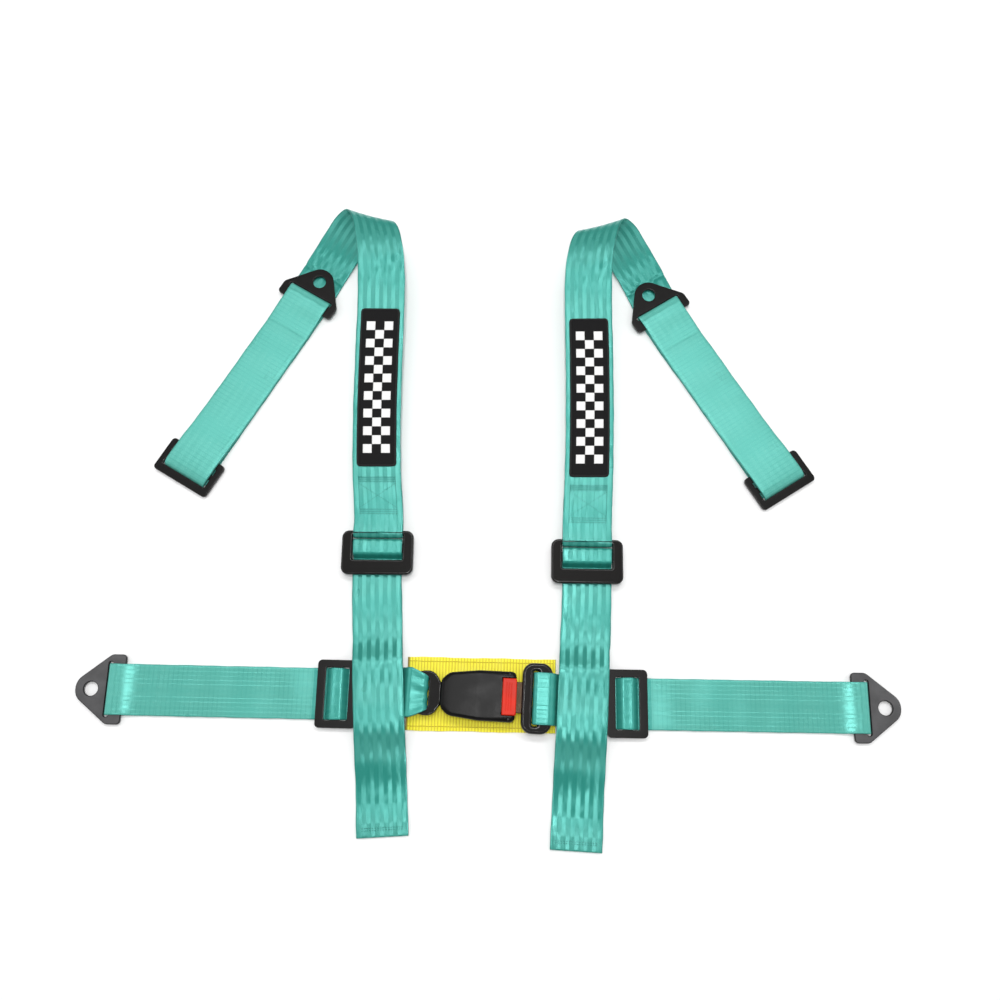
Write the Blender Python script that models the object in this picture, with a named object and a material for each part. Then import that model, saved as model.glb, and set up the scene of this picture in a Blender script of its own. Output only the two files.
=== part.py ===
"""Four-point racing harness lying flat, as separate pieces that fit together.

Metres, +Z up, +X to the wearer's left, +Y towards the shoulders' rear anchors.
The harness lies on the plane Z = 0. Webbing is one ribbon solid for each strap,
swept along a path of its own; hardware is cut from rounded outlines.
"""

import math

import bmesh
import bpy
from mathutils import Matrix, Vector

# ---- driving dimensions ------------------------------------------------------
WEB = 0.050            # width of the two-inch webbing
WEB_T = 0.0013         # its thickness
GAP = 0.00032          # clearance between pieces that touch
LAYER = WEB_T + GAP    # pitch of stacked webbing layers
HALF_T = WEB_T / 2

PLATE_T = 0.003        # bolt-in anchor plates
PLATE_LONG = 0.0475
PLATE_WIDE = 0.068
PLATE_TIP_R = 0.0145   # radius of the rounded tip around the bolt hole
PLATE_HOLE_R = 0.0070
PLATE_BAR = 0.0125     # bar that the webbing wraps
PLATE_SLOT = 0.0045
PLATE_SLOT_WIDE = 0.0535

SLIDE_LONG = 0.040     # three-bar slides on the lap belts
SLIDE_WIDE = 0.066
SLIDE_T = 0.0036
SLIDE_BAR = 0.0085     # outer bars
SLIDE_MIDDLE = 0.0075  # middle bar
SLIDE_WINDOW = 0.0530  # inside width of the windows

ADJ_LONG = 0.0455      # tilt-lock adjusters on the shoulder straps
ADJ_WIDE = 0.073
ADJ_SIDE = 0.0095
ADJ_HEAD = 0.0044      # slim upper bar that the strap's loop turns on
ADJ_FOOT = 0.0155      # broad lower bar
ADJ_T = 0.0060
ADJ_Z = 0.0098         # mid height of the adjusters, which the straps hold up
LOCK_LONG, LOCK_T = 0.0095, 0.0030
LOCK_FROM = -0.0095    # upper edge of the lock bar, from the adjuster's centre
LOCK_GROOVE = 0.0028   # depth of the grooves that guide the lock bar
LOCK_TRAVEL = 0.0020
LOCK_LOW = -0.0012     # underside of the lock bar, from the adjuster's mid height

END_LONG, END_WIDE, END_T = 0.0384, 0.0660, 0.0034  # end slides of the rear straps
END_SHIFT = -0.0021    # their middle, from the middle bar
END_HALF_BAR = 0.0030
END_WINDOW = 0.0535    # inside width of the windows
END_WINDOWS = (-0.0125, 0.0096)  # far sides of the windows, from the middle bar

JOIN_GAP = 0.0013      # slit between the lap belts and the loops of buckle and tongue
HINGE_GAP = 0.0006     # slit in the webbing where a plate folds up or an adjuster tilts
TAIL_RISE = 0.0106     # height of the free tails where they cross the lap belts
SPAN = 4               # route points between two rows of a strap's centre-line
FOLD_ROWS = 7          # rows of each fold before the strap lies along the chest
PATCH_STEPS = 12
SEWN_WIDE = 0.0370     # width of a link where it is gathered and sewn to its lap belt

PAD_LONG, PAD_WIDE, PAD_T = 0.1474, 0.0715, 0.0022
PAD_AT = (-0.0061, -0.1857)
PAD_TURN = -1.2        # degrees
BUCKLE_AT = (-0.0085, -0.1870)
BUCKLE_TURN = -3.0     # degrees
BUCKLE_DROP = -0.0012  # lowers the buckle's own heights on to the pad

# Worked out from the above: the adjuster's upper bar and the loop round it.
HEAD_X = (ADJ_HEAD - ADJ_LONG) / 2
LOOP_R = math.hypot(ADJ_HEAD / 2, ADJ_T / 2) + GAP + HALF_T

# Where the pieces of the two sides lie: x, y of each and heading in degrees.
# A lap belt runs along its heading from the slide out to the plate, and a rear
# strap runs from the end slide up to the plate and the fold over the shoulder.
LAP = {
    "left": {"at": (-0.1481, -0.1850), "heading": 178.8, "tip": 0.2585, "inner": 0.0610},
    "right": {"at": (0.1377, -0.1945), "heading": -1.0, "tip": 0.2690, "inner": 0.0610},
}
REAR = {
    "left": {"at": (-0.3115, 0.0495), "heading": 59.1, "plate": 0.2600},
    "right": {"at": (0.3030, 0.0358), "heading": 121.5, "plate": 0.2590},
}
# Centre-line of each shoulder strap from the rear strap's crease over the fold
# and down the chest: x, y, z and the direction of the width in plan, degrees.
FOLD = {
    "left": [
        (-0.1760, 0.2805, 0.0022, -30.9),
        (-0.1610, 0.3030, 0.0085, -30.0),
        (-0.1460, 0.3200, 0.0200, -25.0),
        (-0.1335, 0.3245, 0.0320, -19.0),
        (-0.1240, 0.3150, 0.0415, -13.0),
        (-0.1180, 0.2960, 0.0450, -8.0),
        (-0.1140, 0.2680, 0.0440, -3.5),
        (-0.1130, 0.2250, 0.0385, -1.0),
        (-0.1145, 0.1650, 0.0300, 0.0),
        (-0.1155, 0.1000, 0.0225, 0.0),
        (-0.1145, 0.0400, 0.0170, 0.0),
    ],
    "right": [
        (0.1680, 0.2685, 0.0022, 31.5),
        (0.1540, 0.2910, 0.0085, 30.0),
        (0.1400, 0.3085, 0.0200, 25.0),
        (0.1275, 0.3130, 0.0320, 19.0),
        (0.1180, 0.3035, 0.0415, 13.0),
        (0.1115, 0.2845, 0.0450, 8.0),
        (0.1070, 0.2565, 0.0440, 3.5),
        (0.1060, 0.2135, 0.0385, 1.0),
        (0.1065, 0.1535, 0.0300, 0.0),
        (0.1060, 0.0885, 0.0225, 0.0),
        (0.1040, 0.0285, 0.0170, 0.0),
    ],
}
# From an adjuster its tail drifts aside and its link leans aside, in degrees; belt
# is how far along the lap belt is crossed.
ADJUSTER = {
    "left": {
        "at": (-0.1118, -0.0445), "heading": -90.6,
        "tail": 0.2480, "drift": 2.9, "belt": 0.1415, "lean": 2.9,
    },
    "right": {
        "at": (0.1010, -0.0538), "heading": -91.0,
        "tail": 0.2520, "drift": -2.7, "belt": 0.1400, "lean": -0.9,
    },
}
PATCH_LONG, PATCH_WIDE, PATCH_T = 0.1680, 0.0410, 0.0014
PATCH_FROM = {"left": 0.2125, "right": 0.2010}  # y of the upper end


# ---- materials ---------------------------------------------------------------
def principled(name, colour, roughness, metallic=0.0):
    material = bpy.data.materials.new(name)
    material.use_nodes = True
    material.diffuse_color = (*colour, 1.0)
    shader = material.node_tree.nodes["Principled BSDF"]
    shader.inputs["Base Color"].default_value = (*colour, 1.0)
    shader.inputs["Roughness"].default_value = roughness
    shader.inputs["Metallic"].default_value = metallic
    return material


FINISHES = {
    "teal_webbing": ((0.070, 0.485, 0.385), 0.55, 0.0),
    "yellow_webbing": ((0.930, 0.820, 0.020), 0.65, 0.0),
    "plate_metal": ((0.085, 0.085, 0.088), 0.35, 0.85),
    "black_metal": ((0.030, 0.028, 0.028), 0.35, 0.60),
    "black_plastic": ((0.022, 0.020, 0.020), 0.40, 0.0),
    "red_plastic": ((0.800, 0.045, 0.020), 0.30, 0.0),
    "steel": ((0.480, 0.470, 0.460), 0.30, 1.0),
    "spring_steel": ((0.380, 0.380, 0.400), 0.25, 1.0),
    "patch_fabric": ((0.018, 0.017, 0.018), 0.80, 0.0),
}


# ---- placing -----------------------------------------------------------------
def placed(x, y, heading, z=0.0):
    """A frame whose +X runs along the heading and whose +Y is 90 degrees left of it."""
    return Matrix.Translation((x, y, z)) @ Matrix.Rotation(math.radians(heading), 4, "Z")


def node(name, mesh_source, finish, frame=None, origin=None):
    """Turns a bmesh in local coordinates into a named object with its origin on its joint."""
    world = frame or Matrix.Identity(4)
    bmesh.ops.transform(mesh_source, matrix=world, verts=mesh_source.verts)
    pivot = Vector(origin) if origin else world.translation.copy()
    bmesh.ops.translate(mesh_source, vec=-pivot, verts=mesh_source.verts)
    bmesh.ops.recalc_face_normals(mesh_source, faces=mesh_source.faces)
    mesh = bpy.data.meshes.new(name)
    mesh_source.to_mesh(mesh)
    mesh_source.free()
    mesh.materials.append(principled(f"{name}_{finish}", *FINISHES[finish]))
    mesh.shade_smooth()
    mesh.set_sharp_from_angle(angle=math.radians(35))
    thing = bpy.data.objects.new(name, mesh)
    thing.location = pivot
    bpy.context.scene.collection.objects.link(thing)
    return thing


# ---- outlines ----------------------------------------------------------------
def filleted(corners, closed=True, steps=5):
    """Rounds the corners of a polyline, as far as its sides allow. Each corner is (a, b, radius)."""
    points = []
    count = len(corners)
    for index, (a, b, radius) in enumerate(corners):
        here = Vector((a, b))
        is_end = not closed and index in (0, count - 1)
        if radius <= 0 or is_end:
            points.append((a, b))
            continue
        before = Vector(corners[index - 1][:2]) - here
        after = Vector(corners[(index + 1) % count][:2]) - here
        half = before.angle(after) / 2
        if half > math.radians(89.5):
            points.append((a, b))
            continue
        reach = min(radius / math.tan(half), 0.48 * before.length, 0.48 * after.length)
        bulge = reach / math.cos(half)
        centre = here + (before.normalized() + after.normalized()).normalized() * bulge
        start = here + before.normalized() * reach - centre
        end = here + after.normalized() * reach - centre
        turn = math.atan2(start.cross(end), start.dot(end))
        for step in range(steps + 1):
            spoke = Matrix.Rotation(turn * step / steps, 2) @ start
            points.append((centre.x + spoke.x, centre.y + spoke.y))
    return points


def rectangle(long, wide, radius, centre=(0.0, 0.0)):
    x, y = centre
    return [
        (x - long / 2, y - wide / 2, radius),
        (x + long / 2, y - wide / 2, radius),
        (x + long / 2, y + wide / 2, radius),
        (x - long / 2, y + wide / 2, radius),
    ]


def circle(x, y, radius, count=20):
    turns = [2 * math.pi * step / count for step in range(count)]
    return [(x + radius * math.cos(turn), y + radius * math.sin(turn)) for turn in turns]


def slab(outline, z_low, z_high, holes=()):
    """A flat solid between two heights from an outline with holes in it."""
    solid = bmesh.new()
    edges = []
    for ring in (outline, *holes):
        verts = [solid.verts.new((x, y, z_low)) for x, y in ring]
        edges += [solid.edges.new((verts[i - 1], verts[i])) for i in range(len(verts))]
    bmesh.ops.triangle_fill(solid, use_beauty=True, edges=edges)
    lifted = bmesh.ops.extrude_face_region(solid, geom=list(solid.faces), use_keep_orig=True)
    top = [item for item in lifted["geom"] if isinstance(item, bmesh.types.BMVert)]
    bmesh.ops.translate(solid, vec=(0, 0, z_high - z_low), verts=top)
    return solid


def loft(sections):
    """A closed solid through rings of equal length, one above the other."""
    solid = bmesh.new()
    rings = [[solid.verts.new(point) for point in section] for section in sections]
    for lower, upper in zip(rings, rings[1:]):
        for i in range(len(lower)):
            solid.faces.new((lower[i - 1], lower[i], upper[i], upper[i - 1]))
    solid.faces.new(rings[0][::-1])
    solid.faces.new(rings[-1])
    return solid


def pillow(corners, z_low, z_high, edge, steps=3):
    """An outline raised into a block whose upper and lower edges are rounded off."""
    sections = []
    for step in range(2 * steps + 2):
        upper = step > steps
        turn = math.pi / 2 * ((step - 1) if upper else step) / steps
        inset = edge * (1 - math.sin(turn))
        height = z_high - edge * (1 + math.cos(turn)) if upper else z_low + edge * (1 - math.cos(turn))
        ring = filleted(shrunk(corners, inset), steps=4)
        sections.append([(x, y, height) for x, y in ring])
    return loft(sections)


def shrunk(corners, inset):
    """The corners of a convex outline moved inwards by an inset, radii kept in step."""
    moved = []
    count = len(corners)
    for index, (a, b, radius) in enumerate(corners):
        here = Vector((a, b))
        before = (Vector(corners[index - 1][:2]) - here).normalized()
        after = (Vector(corners[(index + 1) % count][:2]) - here).normalized()
        half = before.angle(after) / 2
        moved_to = here + (before + after).normalized() * (inset / math.sin(half))
        moved.append((moved_to.x, moved_to.y, max(radius - inset, 0.0002)))
    return moved


# ---- webbing -----------------------------------------------------------------
def ribbon(stations, thickness=WEB_T):
    """A closed strip through stations of (centre, width vector)."""
    centres = [Vector(centre) for centre, _ in stations]
    rings = []
    for index, (_, across) in enumerate(stations):
        ahead = centres[min(index + 1, len(centres) - 1)] - centres[index]
        behind = centres[index] - centres[max(index - 1, 0)]
        along = (ahead.normalized() + behind.normalized()).normalized()
        wide = Vector(across)
        normal = along.cross(wide).normalized()
        if 0 < index < len(centres) - 1:
            stretch = 1 / max(math.cos(ahead.angle(behind) / 2), 0.5)
        else:
            stretch = 1.0
        lift = normal * (thickness / 2 * stretch)
        side = wide / 2
        middle = centres[index]
        rings.append([
            middle - side - lift, middle + side - lift, middle + side + lift, middle - side + lift,
        ])
    return loft(rings)


def flat_ribbon(path, frame, width=WEB, thickness=WEB_T, steps=5):
    """Webbing whose path lies in the frame's X-Z plane. Path corners are (x, z, radius)."""
    across = frame.to_3x3() @ Vector((0, width, 0))
    points = filleted(path, closed=False, steps=steps)
    return ribbon([(frame @ Vector((x, 0, z)), across) for x, z in points], thickness)


def smooth_route(points, per_span=4):
    """Catmull-Rom points through a list of tuples."""
    ends = [[2 * a - b for a, b in zip(points[0], points[1])]]
    tail = [[2 * a - b for a, b in zip(points[-1], points[-2])]]
    knots = ends + [list(point) for point in points] + tail
    route = []
    for i in range(1, len(knots) - 2):
        for step in range(per_span):
            t = step / per_span
            route.append([
                0.5 * (2 * b + (c - a) * t + (2 * a - 5 * b + 4 * c - d) * t * t
                       + (3 * b - a - 3 * c + d) * t ** 3)
                for a, b, c, d in zip(knots[i - 1], knots[i], knots[i + 1], knots[i + 2])
            ])
    route.append(list(points[-1]))
    return route


# ---- bolt-in plates and their webbing loops ----------------------------------
def anchor_plate(name, frame, tip, z_low, finish, origin):
    """Rounded triangle with a bolt hole near its tip and a webbing slot behind its bar."""
    base = tip - PLATE_LONG
    hole_x = tip - PLATE_TIP_R - 0.0008
    outline = filleted([
        (base, -PLATE_WIDE / 2, 0.004),
        (base + 0.0145, -PLATE_WIDE / 2, 0.007),
        (tip, -0.0075, PLATE_TIP_R),
        (tip, 0.0075, PLATE_TIP_R),
        (base + 0.0145, PLATE_WIDE / 2, 0.007),
        (base, PLATE_WIDE / 2, 0.004),
    ], steps=4)
    slot_x = base + PLATE_BAR + PLATE_SLOT / 2
    slot = filleted(rectangle(PLATE_SLOT, PLATE_SLOT_WIDE, 0.0018, (slot_x, 0)), steps=3)
    solid = slab(outline, z_low, z_low + PLATE_T, [circle(hole_x, 0, PLATE_HOLE_R), slot])
    return node(name, solid, finish, frame, origin)


def bar_wrap(base, z_low, far, lower_z, upper_z):
    """Path of webbing that goes out under a plate's bar, up its slot and back over the bar."""
    clear = GAP + HALF_T
    bar_end = base + PLATE_BAR
    turn_x = bar_end + clear
    under = z_low - clear
    over = z_low + PLATE_T + clear
    return [
        (far, lower_z, 0), (base - 0.0075, lower_z, 0.006), (base - 0.0035, under, 0.006),
        (turn_x, under, 0.0009), (turn_x, over, 0.0009),
        (base - 0.0030, over, 0.004), (base - 0.0080, upper_z, 0.006), (far, upper_z, 0),
    ]


# ---- lap belts ---------------------------------------------------------------
def lap_belt(side):
    data = LAP[side]
    frame = placed(*data["at"], data["heading"])
    tip = data["tip"]
    base = tip - PLATE_LONG
    hinge_x = base - 0.0115
    low, high = HALF_T, HALF_T + LAYER
    plate_z = WEB_T + GAP
    hinge = frame @ Vector((hinge_x, 0, high + HALF_T))
    anchor_plate(f"lap_anchor_plate_{side}", frame, tip, plate_z, "plate_metal", hinge)
    loop = bar_wrap(base, plate_z, hinge_x + HINGE_GAP / 2, low, high)
    node(f"lap_anchor_loop_{side}", flat_ribbon(loop, frame), "teal_webbing", None, hinge)

    slide_z = 2 * LAYER + 0.0003
    outline = filleted(rectangle(SLIDE_LONG, SLIDE_WIDE, 0.0045), steps=4)
    window = (SLIDE_LONG - 2 * SLIDE_BAR - SLIDE_MIDDLE) / 2
    offset = (SLIDE_MIDDLE + window) / 2
    windows = [
        filleted(rectangle(window, SLIDE_WINDOW, 0.0012, (x, 0)), steps=2) for x in (-offset, offset)
    ]
    solid = slab(outline, slide_z, slide_z + SLIDE_T, windows)
    node(f"lap_slide_{side}", solid, "black_metal", frame)

    # The return layer comes in under the outer bar, rides over the middle bar
    # and dips under the inner bar, where it ends.
    far = hinge_x - HINGE_GAP / 2
    crest = slide_z + SLIDE_T + GAP + HALF_T
    edge = SLIDE_LONG / 2
    dip = edge - SLIDE_BAR - 0.0026
    rise = SLIDE_MIDDLE / 2 + GAP + HALF_T
    roll = [
        (edge + 0.004, high, 0), (dip + 0.0014, high, 0.0014),
        (rise, crest, 0.0018), (-rise, crest, 0.0018),
        (-dip - 0.0014, high, 0.0014), (-edge - 0.0005, high, 0),
    ]
    node(f"lap_slide_roll_{side}", flat_ribbon(roll, frame, steps=4), "teal_webbing")
    upper = [(edge + 0.004 + GAP, high, 0), (far, high, 0)]
    node(f"lap_belt_return_{side}", flat_ribbon(upper, frame), "teal_webbing")
    lower = [(-data["inner"], low, 0), (far, low, 0)]
    node(f"lap_belt_{side}", flat_ribbon(lower, frame), "teal_webbing")


# ---- shoulder straps ---------------------------------------------------------
def rear_strap(side):
    """Rear end of a shoulder strap: end slide, doubled webbing, bolt-in plate."""
    data = REAR[side]
    frame = placed(*data["at"], data["heading"])
    base_x = data["plate"] - PLATE_LONG
    levels = [HALF_T + LAYER * step for step in range(3)]
    hinge_x = base_x - 0.0115
    plate_z = 2 * LAYER
    hinge = frame @ Vector((hinge_x, 0, levels[2] + HALF_T))
    name = f"shoulder_anchor_plate_{side}"
    anchor_plate(name, frame, data["plate"], plate_z, "black_metal", hinge)
    loop = bar_wrap(base_x, plate_z, hinge_x + HINGE_GAP / 2, levels[1], levels[2])
    node(f"shoulder_anchor_loop_{side}", flat_ribbon(loop, frame), "teal_webbing", None, hinge)

    # The end slide lies between the strap that goes in under it and the webbing
    # that comes back over its middle bar.
    slide_z = LAYER
    windows = []
    for start, end in ((END_WINDOWS[0], -END_HALF_BAR), (END_HALF_BAR, END_WINDOWS[1])):
        corners = rectangle(end - start, END_WINDOW, 0.0012, ((start + end) / 2, 0))
        windows.append(filleted(corners, steps=2))
    outline = filleted(rectangle(END_LONG, END_WIDE, 0.0040, (END_SHIFT, 0)), steps=4)
    slide = slab(outline, slide_z, slide_z + END_T, windows)
    node(f"shoulder_end_slide_{side}", slide, "black_metal", frame)

    far = hinge_x - HINGE_GAP / 2
    over = slide_z + END_T + GAP + HALF_T
    turn_x = -END_HALF_BAR - GAP - HALF_T
    edge = 0.0172
    returned = [
        (turn_x, 0.0028, 0), (turn_x, over, 0.0014), (edge + 0.0015, over, 0.006),
        (edge + 0.0100, levels[1], 0.012), (far, levels[1], 0),
    ]
    node(f"shoulder_return_{side}", flat_ribbon(returned, frame), "teal_webbing")
    top_x = turn_x - LAYER
    top = [
        (top_x, 0.0028, 0), (top_x, over + LAYER, 0.0026), (edge + 0.0020, over + LAYER, 0.006),
        (edge + 0.0110, levels[2], 0.012), (far, levels[2], 0),
    ]
    node(f"shoulder_return_end_{side}", flat_ribbon(top, frame), "teal_webbing")


def shoulder_route(side):
    """Rows of x, y, z and width direction along a strap, end slide to adjuster, and its two cuts."""
    rear = placed(*REAR[side]["at"], REAR[side]["heading"])
    turn = REAR[side]["heading"] - 90
    rows = [(*(rear @ Vector((x, 0, HALF_T))), turn) for x in (-0.0045, 0.1200, 0.2450)]
    crease = len(rows)
    rows += FOLD[side]
    adjuster = adjuster_frame(side)
    turn_down = ADJUSTER[side]["heading"] + 90
    for x, z in ((-0.0400, 0.0053), (HEAD_X, LOOP_R)):
        rows.append((*(adjuster @ Vector((x, 0, z))), turn_down))
    cuts = (crease * SPAN, (crease + FOLD_ROWS) * SPAN)
    return [(x, y, max(z, HALF_T), turn) for x, y, z, turn in smooth_route(rows, SPAN)], cuts


def stations_of(rows):
    stations = []
    for x, y, z, turn in rows:
        angle = math.radians(turn)
        stations.append(((x, y, z), (-WEB * math.cos(angle), -WEB * math.sin(angle), 0.0)))
    return stations


def shoulder_strap(side):
    """One strap in three stretches: flat rear end, fold over the shoulder, and chest."""
    rows, (crease, descent) = shoulder_route(side)
    node(f"shoulder_strap_rear_{side}", ribbon(stations_of(rows[:crease + 1])), "teal_webbing")
    fold = parted(stations_of(rows[crease:descent + 1]))
    node(f"shoulder_strap_fold_{side}", ribbon(fold), "teal_webbing")
    # The chest stretch turns round the adjuster's upper bar and is sewn back under itself.
    front = stations_of(rows[descent:])
    frame = adjuster_frame(side)
    across = frame.to_3x3() @ Vector((0, WEB, 0))
    for step in range(1, 9):
        turn = math.pi / 2 - math.pi * step / 8
        x = HEAD_X + LOOP_R * math.cos(turn)
        front.append((frame @ Vector((x, 0, LOOP_R * math.sin(turn))), across))
    sewn_back = [
        (-0.0260, -0.0036), (-0.0330, 0.0012), (-0.0400, 0.0034), (-0.0600, 0.0040), (-0.0840, 0.0049),
    ]
    for x, z in sewn_back:
        front.append((frame @ Vector((x, 0, z)), across))
    node(f"shoulder_strap_front_{side}", ribbon(parted(front, both=False)), "teal_webbing")


def parted(stations, both=True):
    """Draws the ends of a stretch back by the clearance, so that stretches meet without touching."""
    trimmed = list(stations)
    for end, inner in ((0, 1), (-1, -2)) if both else ((0, 1),):
        here, following = Vector(stations[end][0]), Vector(stations[inner][0])
        trimmed[end] = (here + (following - here).normalized() * GAP, stations[end][1])
    return trimmed


def adjuster_frame(side):
    data = ADJUSTER[side]
    return placed(*data["at"], data["heading"], ADJ_Z)


def patch(side):
    """Sewn patch that follows the strap under it."""
    lift = HALF_T + GAP + PATCH_T / 2
    upper = PATCH_FROM[side]
    rows, (_, descent) = shoulder_route(side)
    rows = rows[descent - SPAN:]
    stations = []
    for step in range(PATCH_STEPS + 1):
        y = upper - PATCH_LONG * step / PATCH_STEPS
        after = next(index for index, row in enumerate(rows) if row[1] < y)
        start, end = Vector(rows[after - 1][:3]), Vector(rows[after][:3])
        spot = start.lerp(end, (start.y - y) / (start.y - end.y))
        normal = (end - start).cross(Vector((1, 0, 0))).normalized()
        stations.append((spot + normal * math.copysign(lift, normal.z), (PATCH_WIDE, 0, 0)))
    node(f"shoulder_patch_{side}", ribbon(stations, PATCH_T), "patch_fabric")


# ---- tilt-lock adjusters -----------------------------------------------------
def adjuster(side):
    frame = adjuster_frame(side)
    hinge = frame @ Vector((HEAD_X, 0, 0))
    half = ADJ_LONG / 2
    inner_wide = ADJ_WIDE - 2 * ADJ_SIDE
    window_from, window_to = ADJ_HEAD - half, half - ADJ_FOOT
    outline = filleted(rectangle(ADJ_LONG, ADJ_WIDE, 0.0075), steps=4)
    middle = (window_from + window_to) / 2
    window = filleted(rectangle(window_to - window_from, inner_wide, 0.0012, (middle, 0)), steps=2)
    groove_from = LOCK_FROM - LOCK_TRAVEL - GAP
    groove_to = LOCK_FROM + LOCK_LONG + GAP
    groove = box(
        groove_from, groove_to, inner_wide / 2 + LOCK_GROOVE, LOCK_LOW - GAP, LOCK_LOW + LOCK_T + GAP,
    )
    solid = slab(outline, -ADJ_T / 2, ADJ_T / 2, [window])
    body = node(f"adjuster_frame_{side}", solid, "black_plastic", frame, hinge)
    cut(body, groove, frame)

    bar_wide = inner_wide + 2 * LOCK_GROOVE - 0.0008
    bar_x = LOCK_FROM + LOCK_LONG / 2
    bar_outline = filleted(rectangle(LOCK_LONG, bar_wide, 0.0006, (bar_x, 0)), steps=2)
    bar = slab(bar_outline, LOCK_LOW, LOCK_LOW + LOCK_T)
    node(f"adjuster_lock_bar_{side}", bar, "steel", frame)

    # The adjusting strap comes up under the lower bar, turns over the lock bar
    # and leaves under the lower bar again, above itself.
    clear = GAP + HALF_T
    tail_z = -ADJ_T / 2 - clear
    lower_z = tail_z - LAYER
    under, over = LOCK_LOW - clear, LOCK_LOW + LOCK_T + clear
    exit_x = half + 0.0025
    roll = [
        (exit_x, lower_z, 0), (0.0032, lower_z, 0.004), (-0.0022, under, 0.004),
        (LOCK_FROM - clear, under, 0.0011), (LOCK_FROM - clear, over, 0.0011),
        (LOCK_FROM + LOCK_LONG + clear, over, 0.0016), (0.0052, tail_z, 0.0016), (exit_x, tail_z, 0),
    ]
    node(f"adjuster_strap_roll_{side}", flat_ribbon(roll, frame, steps=3), "teal_webbing")

    # The tail and the strap that comes up from the lap belt, below it.
    data = ADJUSTER[side]
    belt = data["belt"] - exit_x
    ground, raised = HALF_T - ADJ_Z, TAIL_RISE - ADJ_Z
    tail = [
        (0, tail_z, 0), (0.006, tail_z, 0), (belt - 0.058, -0.0062, 0.05), (belt - 0.034, raised, 0.03),
        (belt + 0.034, raised, 0.03), (belt + 0.066, ground, 0.04), (data["tail"], ground, 0),
    ]
    tail_frame = leaning(frame, exit_x, data["drift"])
    node(f"shoulder_tail_{side}", flat_ribbon(tail, tail_frame, steps=3), "teal_webbing")
    link = [
        (0, lower_z, 0), (0.008, lower_z, 0.02), (0.030, ground, 0.02), (belt - 0.0345, ground, 0.006),
        (belt - 0.0290, ground + LAYER, 0.006), (belt + 0.022, ground + LAYER, 0),
    ]
    link_frame = leaning(frame, exit_x, data["lean"])
    sewn = tapered_ribbon(link, link_frame, (belt - 0.060, WEB), (belt - 0.030, SEWN_WIDE))
    node(f"shoulder_link_{side}", sewn, "teal_webbing")


def leaning(frame, x, degrees):
    """A frame further along this one that leans aside, clear of the webbing that ends at x."""
    start = x + HINGE_GAP + WEB / 2 * abs(math.sin(math.radians(degrees)))
    return frame @ Matrix.Translation((start, 0, 0)) @ Matrix.Rotation(math.radians(degrees), 4, "Z")


def cut(body, tool_source, frame, operation="DIFFERENCE"):
    """Subtracts a tool built in the same frame as the body, or adds it."""
    bmesh.ops.transform(tool_source, matrix=frame, verts=tool_source.verts)
    bmesh.ops.recalc_face_normals(tool_source, faces=tool_source.faces)
    mesh = bpy.data.meshes.new(f"{body.name}_tool")
    tool_source.to_mesh(mesh)
    tool_source.free()
    tool = bpy.data.objects.new(f"{body.name}_tool", mesh)
    bpy.context.scene.collection.objects.link(tool)
    tool.hide_render = True
    tool.display_type = "WIRE"
    modifier = body.modifiers.new("cut", "BOOLEAN")
    modifier.operation = operation
    modifier.object = tool


def box(x_from, x_to, half_wide, z_from, z_to):
    x = (x_from + x_to) / 2
    return slab(filleted(rectangle(x_to - x_from, 2 * half_wide, 0, (x, 0))), z_from, z_to)


def turned(profile, x, y, count=16):
    """A solid of revolution about a vertical axis from (radius, height) pairs."""
    sections = []
    for radius, height in profile:
        sections.append([(px, py, height) for px, py in circle(x, y, radius, count)])
    return loft(sections)


def coil(x_from, x_to, y, z, radius, wire, turns):
    """A compression spring along X."""
    count = turns * 8
    sections = []
    for step in range(count + 1):
        turn = 2 * math.pi * turns * step / count
        x = x_from + wire + (x_to - x_from - 2 * wire) * step / count
        out = Vector((0, math.cos(turn), math.sin(turn)))
        middle = Vector((x, y, z)) + out * radius
        ring = []
        for side in range(5):
            lean = 2 * math.pi * side / 5
            ring.append(middle + out * wire * math.cos(lean) + Vector((wire * math.sin(lean), 0, 0)))
        sections.append(ring)
    return loft(sections)


# ---- buckle ------------------------------------------------------------------
COVER_OUTLINE = [
    (-0.0365, -0.0135, 0.007), (-0.0290, -0.0205, 0.012), (0.0000, -0.0240, 0.040), (0.0365, -0.0242, 0.005),
    (0.0365, 0.0242, 0.005), (0.0000, 0.0240, 0.040), (-0.0290, 0.0205, 0.012), (-0.0365, 0.0135, 0.007),
]
WALL = 0.0018
COVER_LOW, COVER_SPLIT, COVER_TOP = 0.0038, 0.0123, 0.0232
SCREW_R = 0.00135      # clearance holes for the cover screws
FRAME_Z, FRAME_T = 0.0092, 0.0025
EYE_LOW, EYE_HIGH = 0.0072, 0.0134
EYE_EDGE, EYE_BAR = -0.0665, -0.0600  # outer and inner side of the bar that the webbing wraps
TANG_LOW = 0.0064
RIVET_R = 0.0018
TONGUE_Z, TONGUE_T = 0.0121, 0.0025
MOUTH_X, MOUTH_HALF = 0.0226, 0.0184
SPRING_WIRE = 0.0003
SCREW_AT = (0.0300, 0.0213)
RIVET_AT = (-0.0280, 0.0065)


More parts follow.
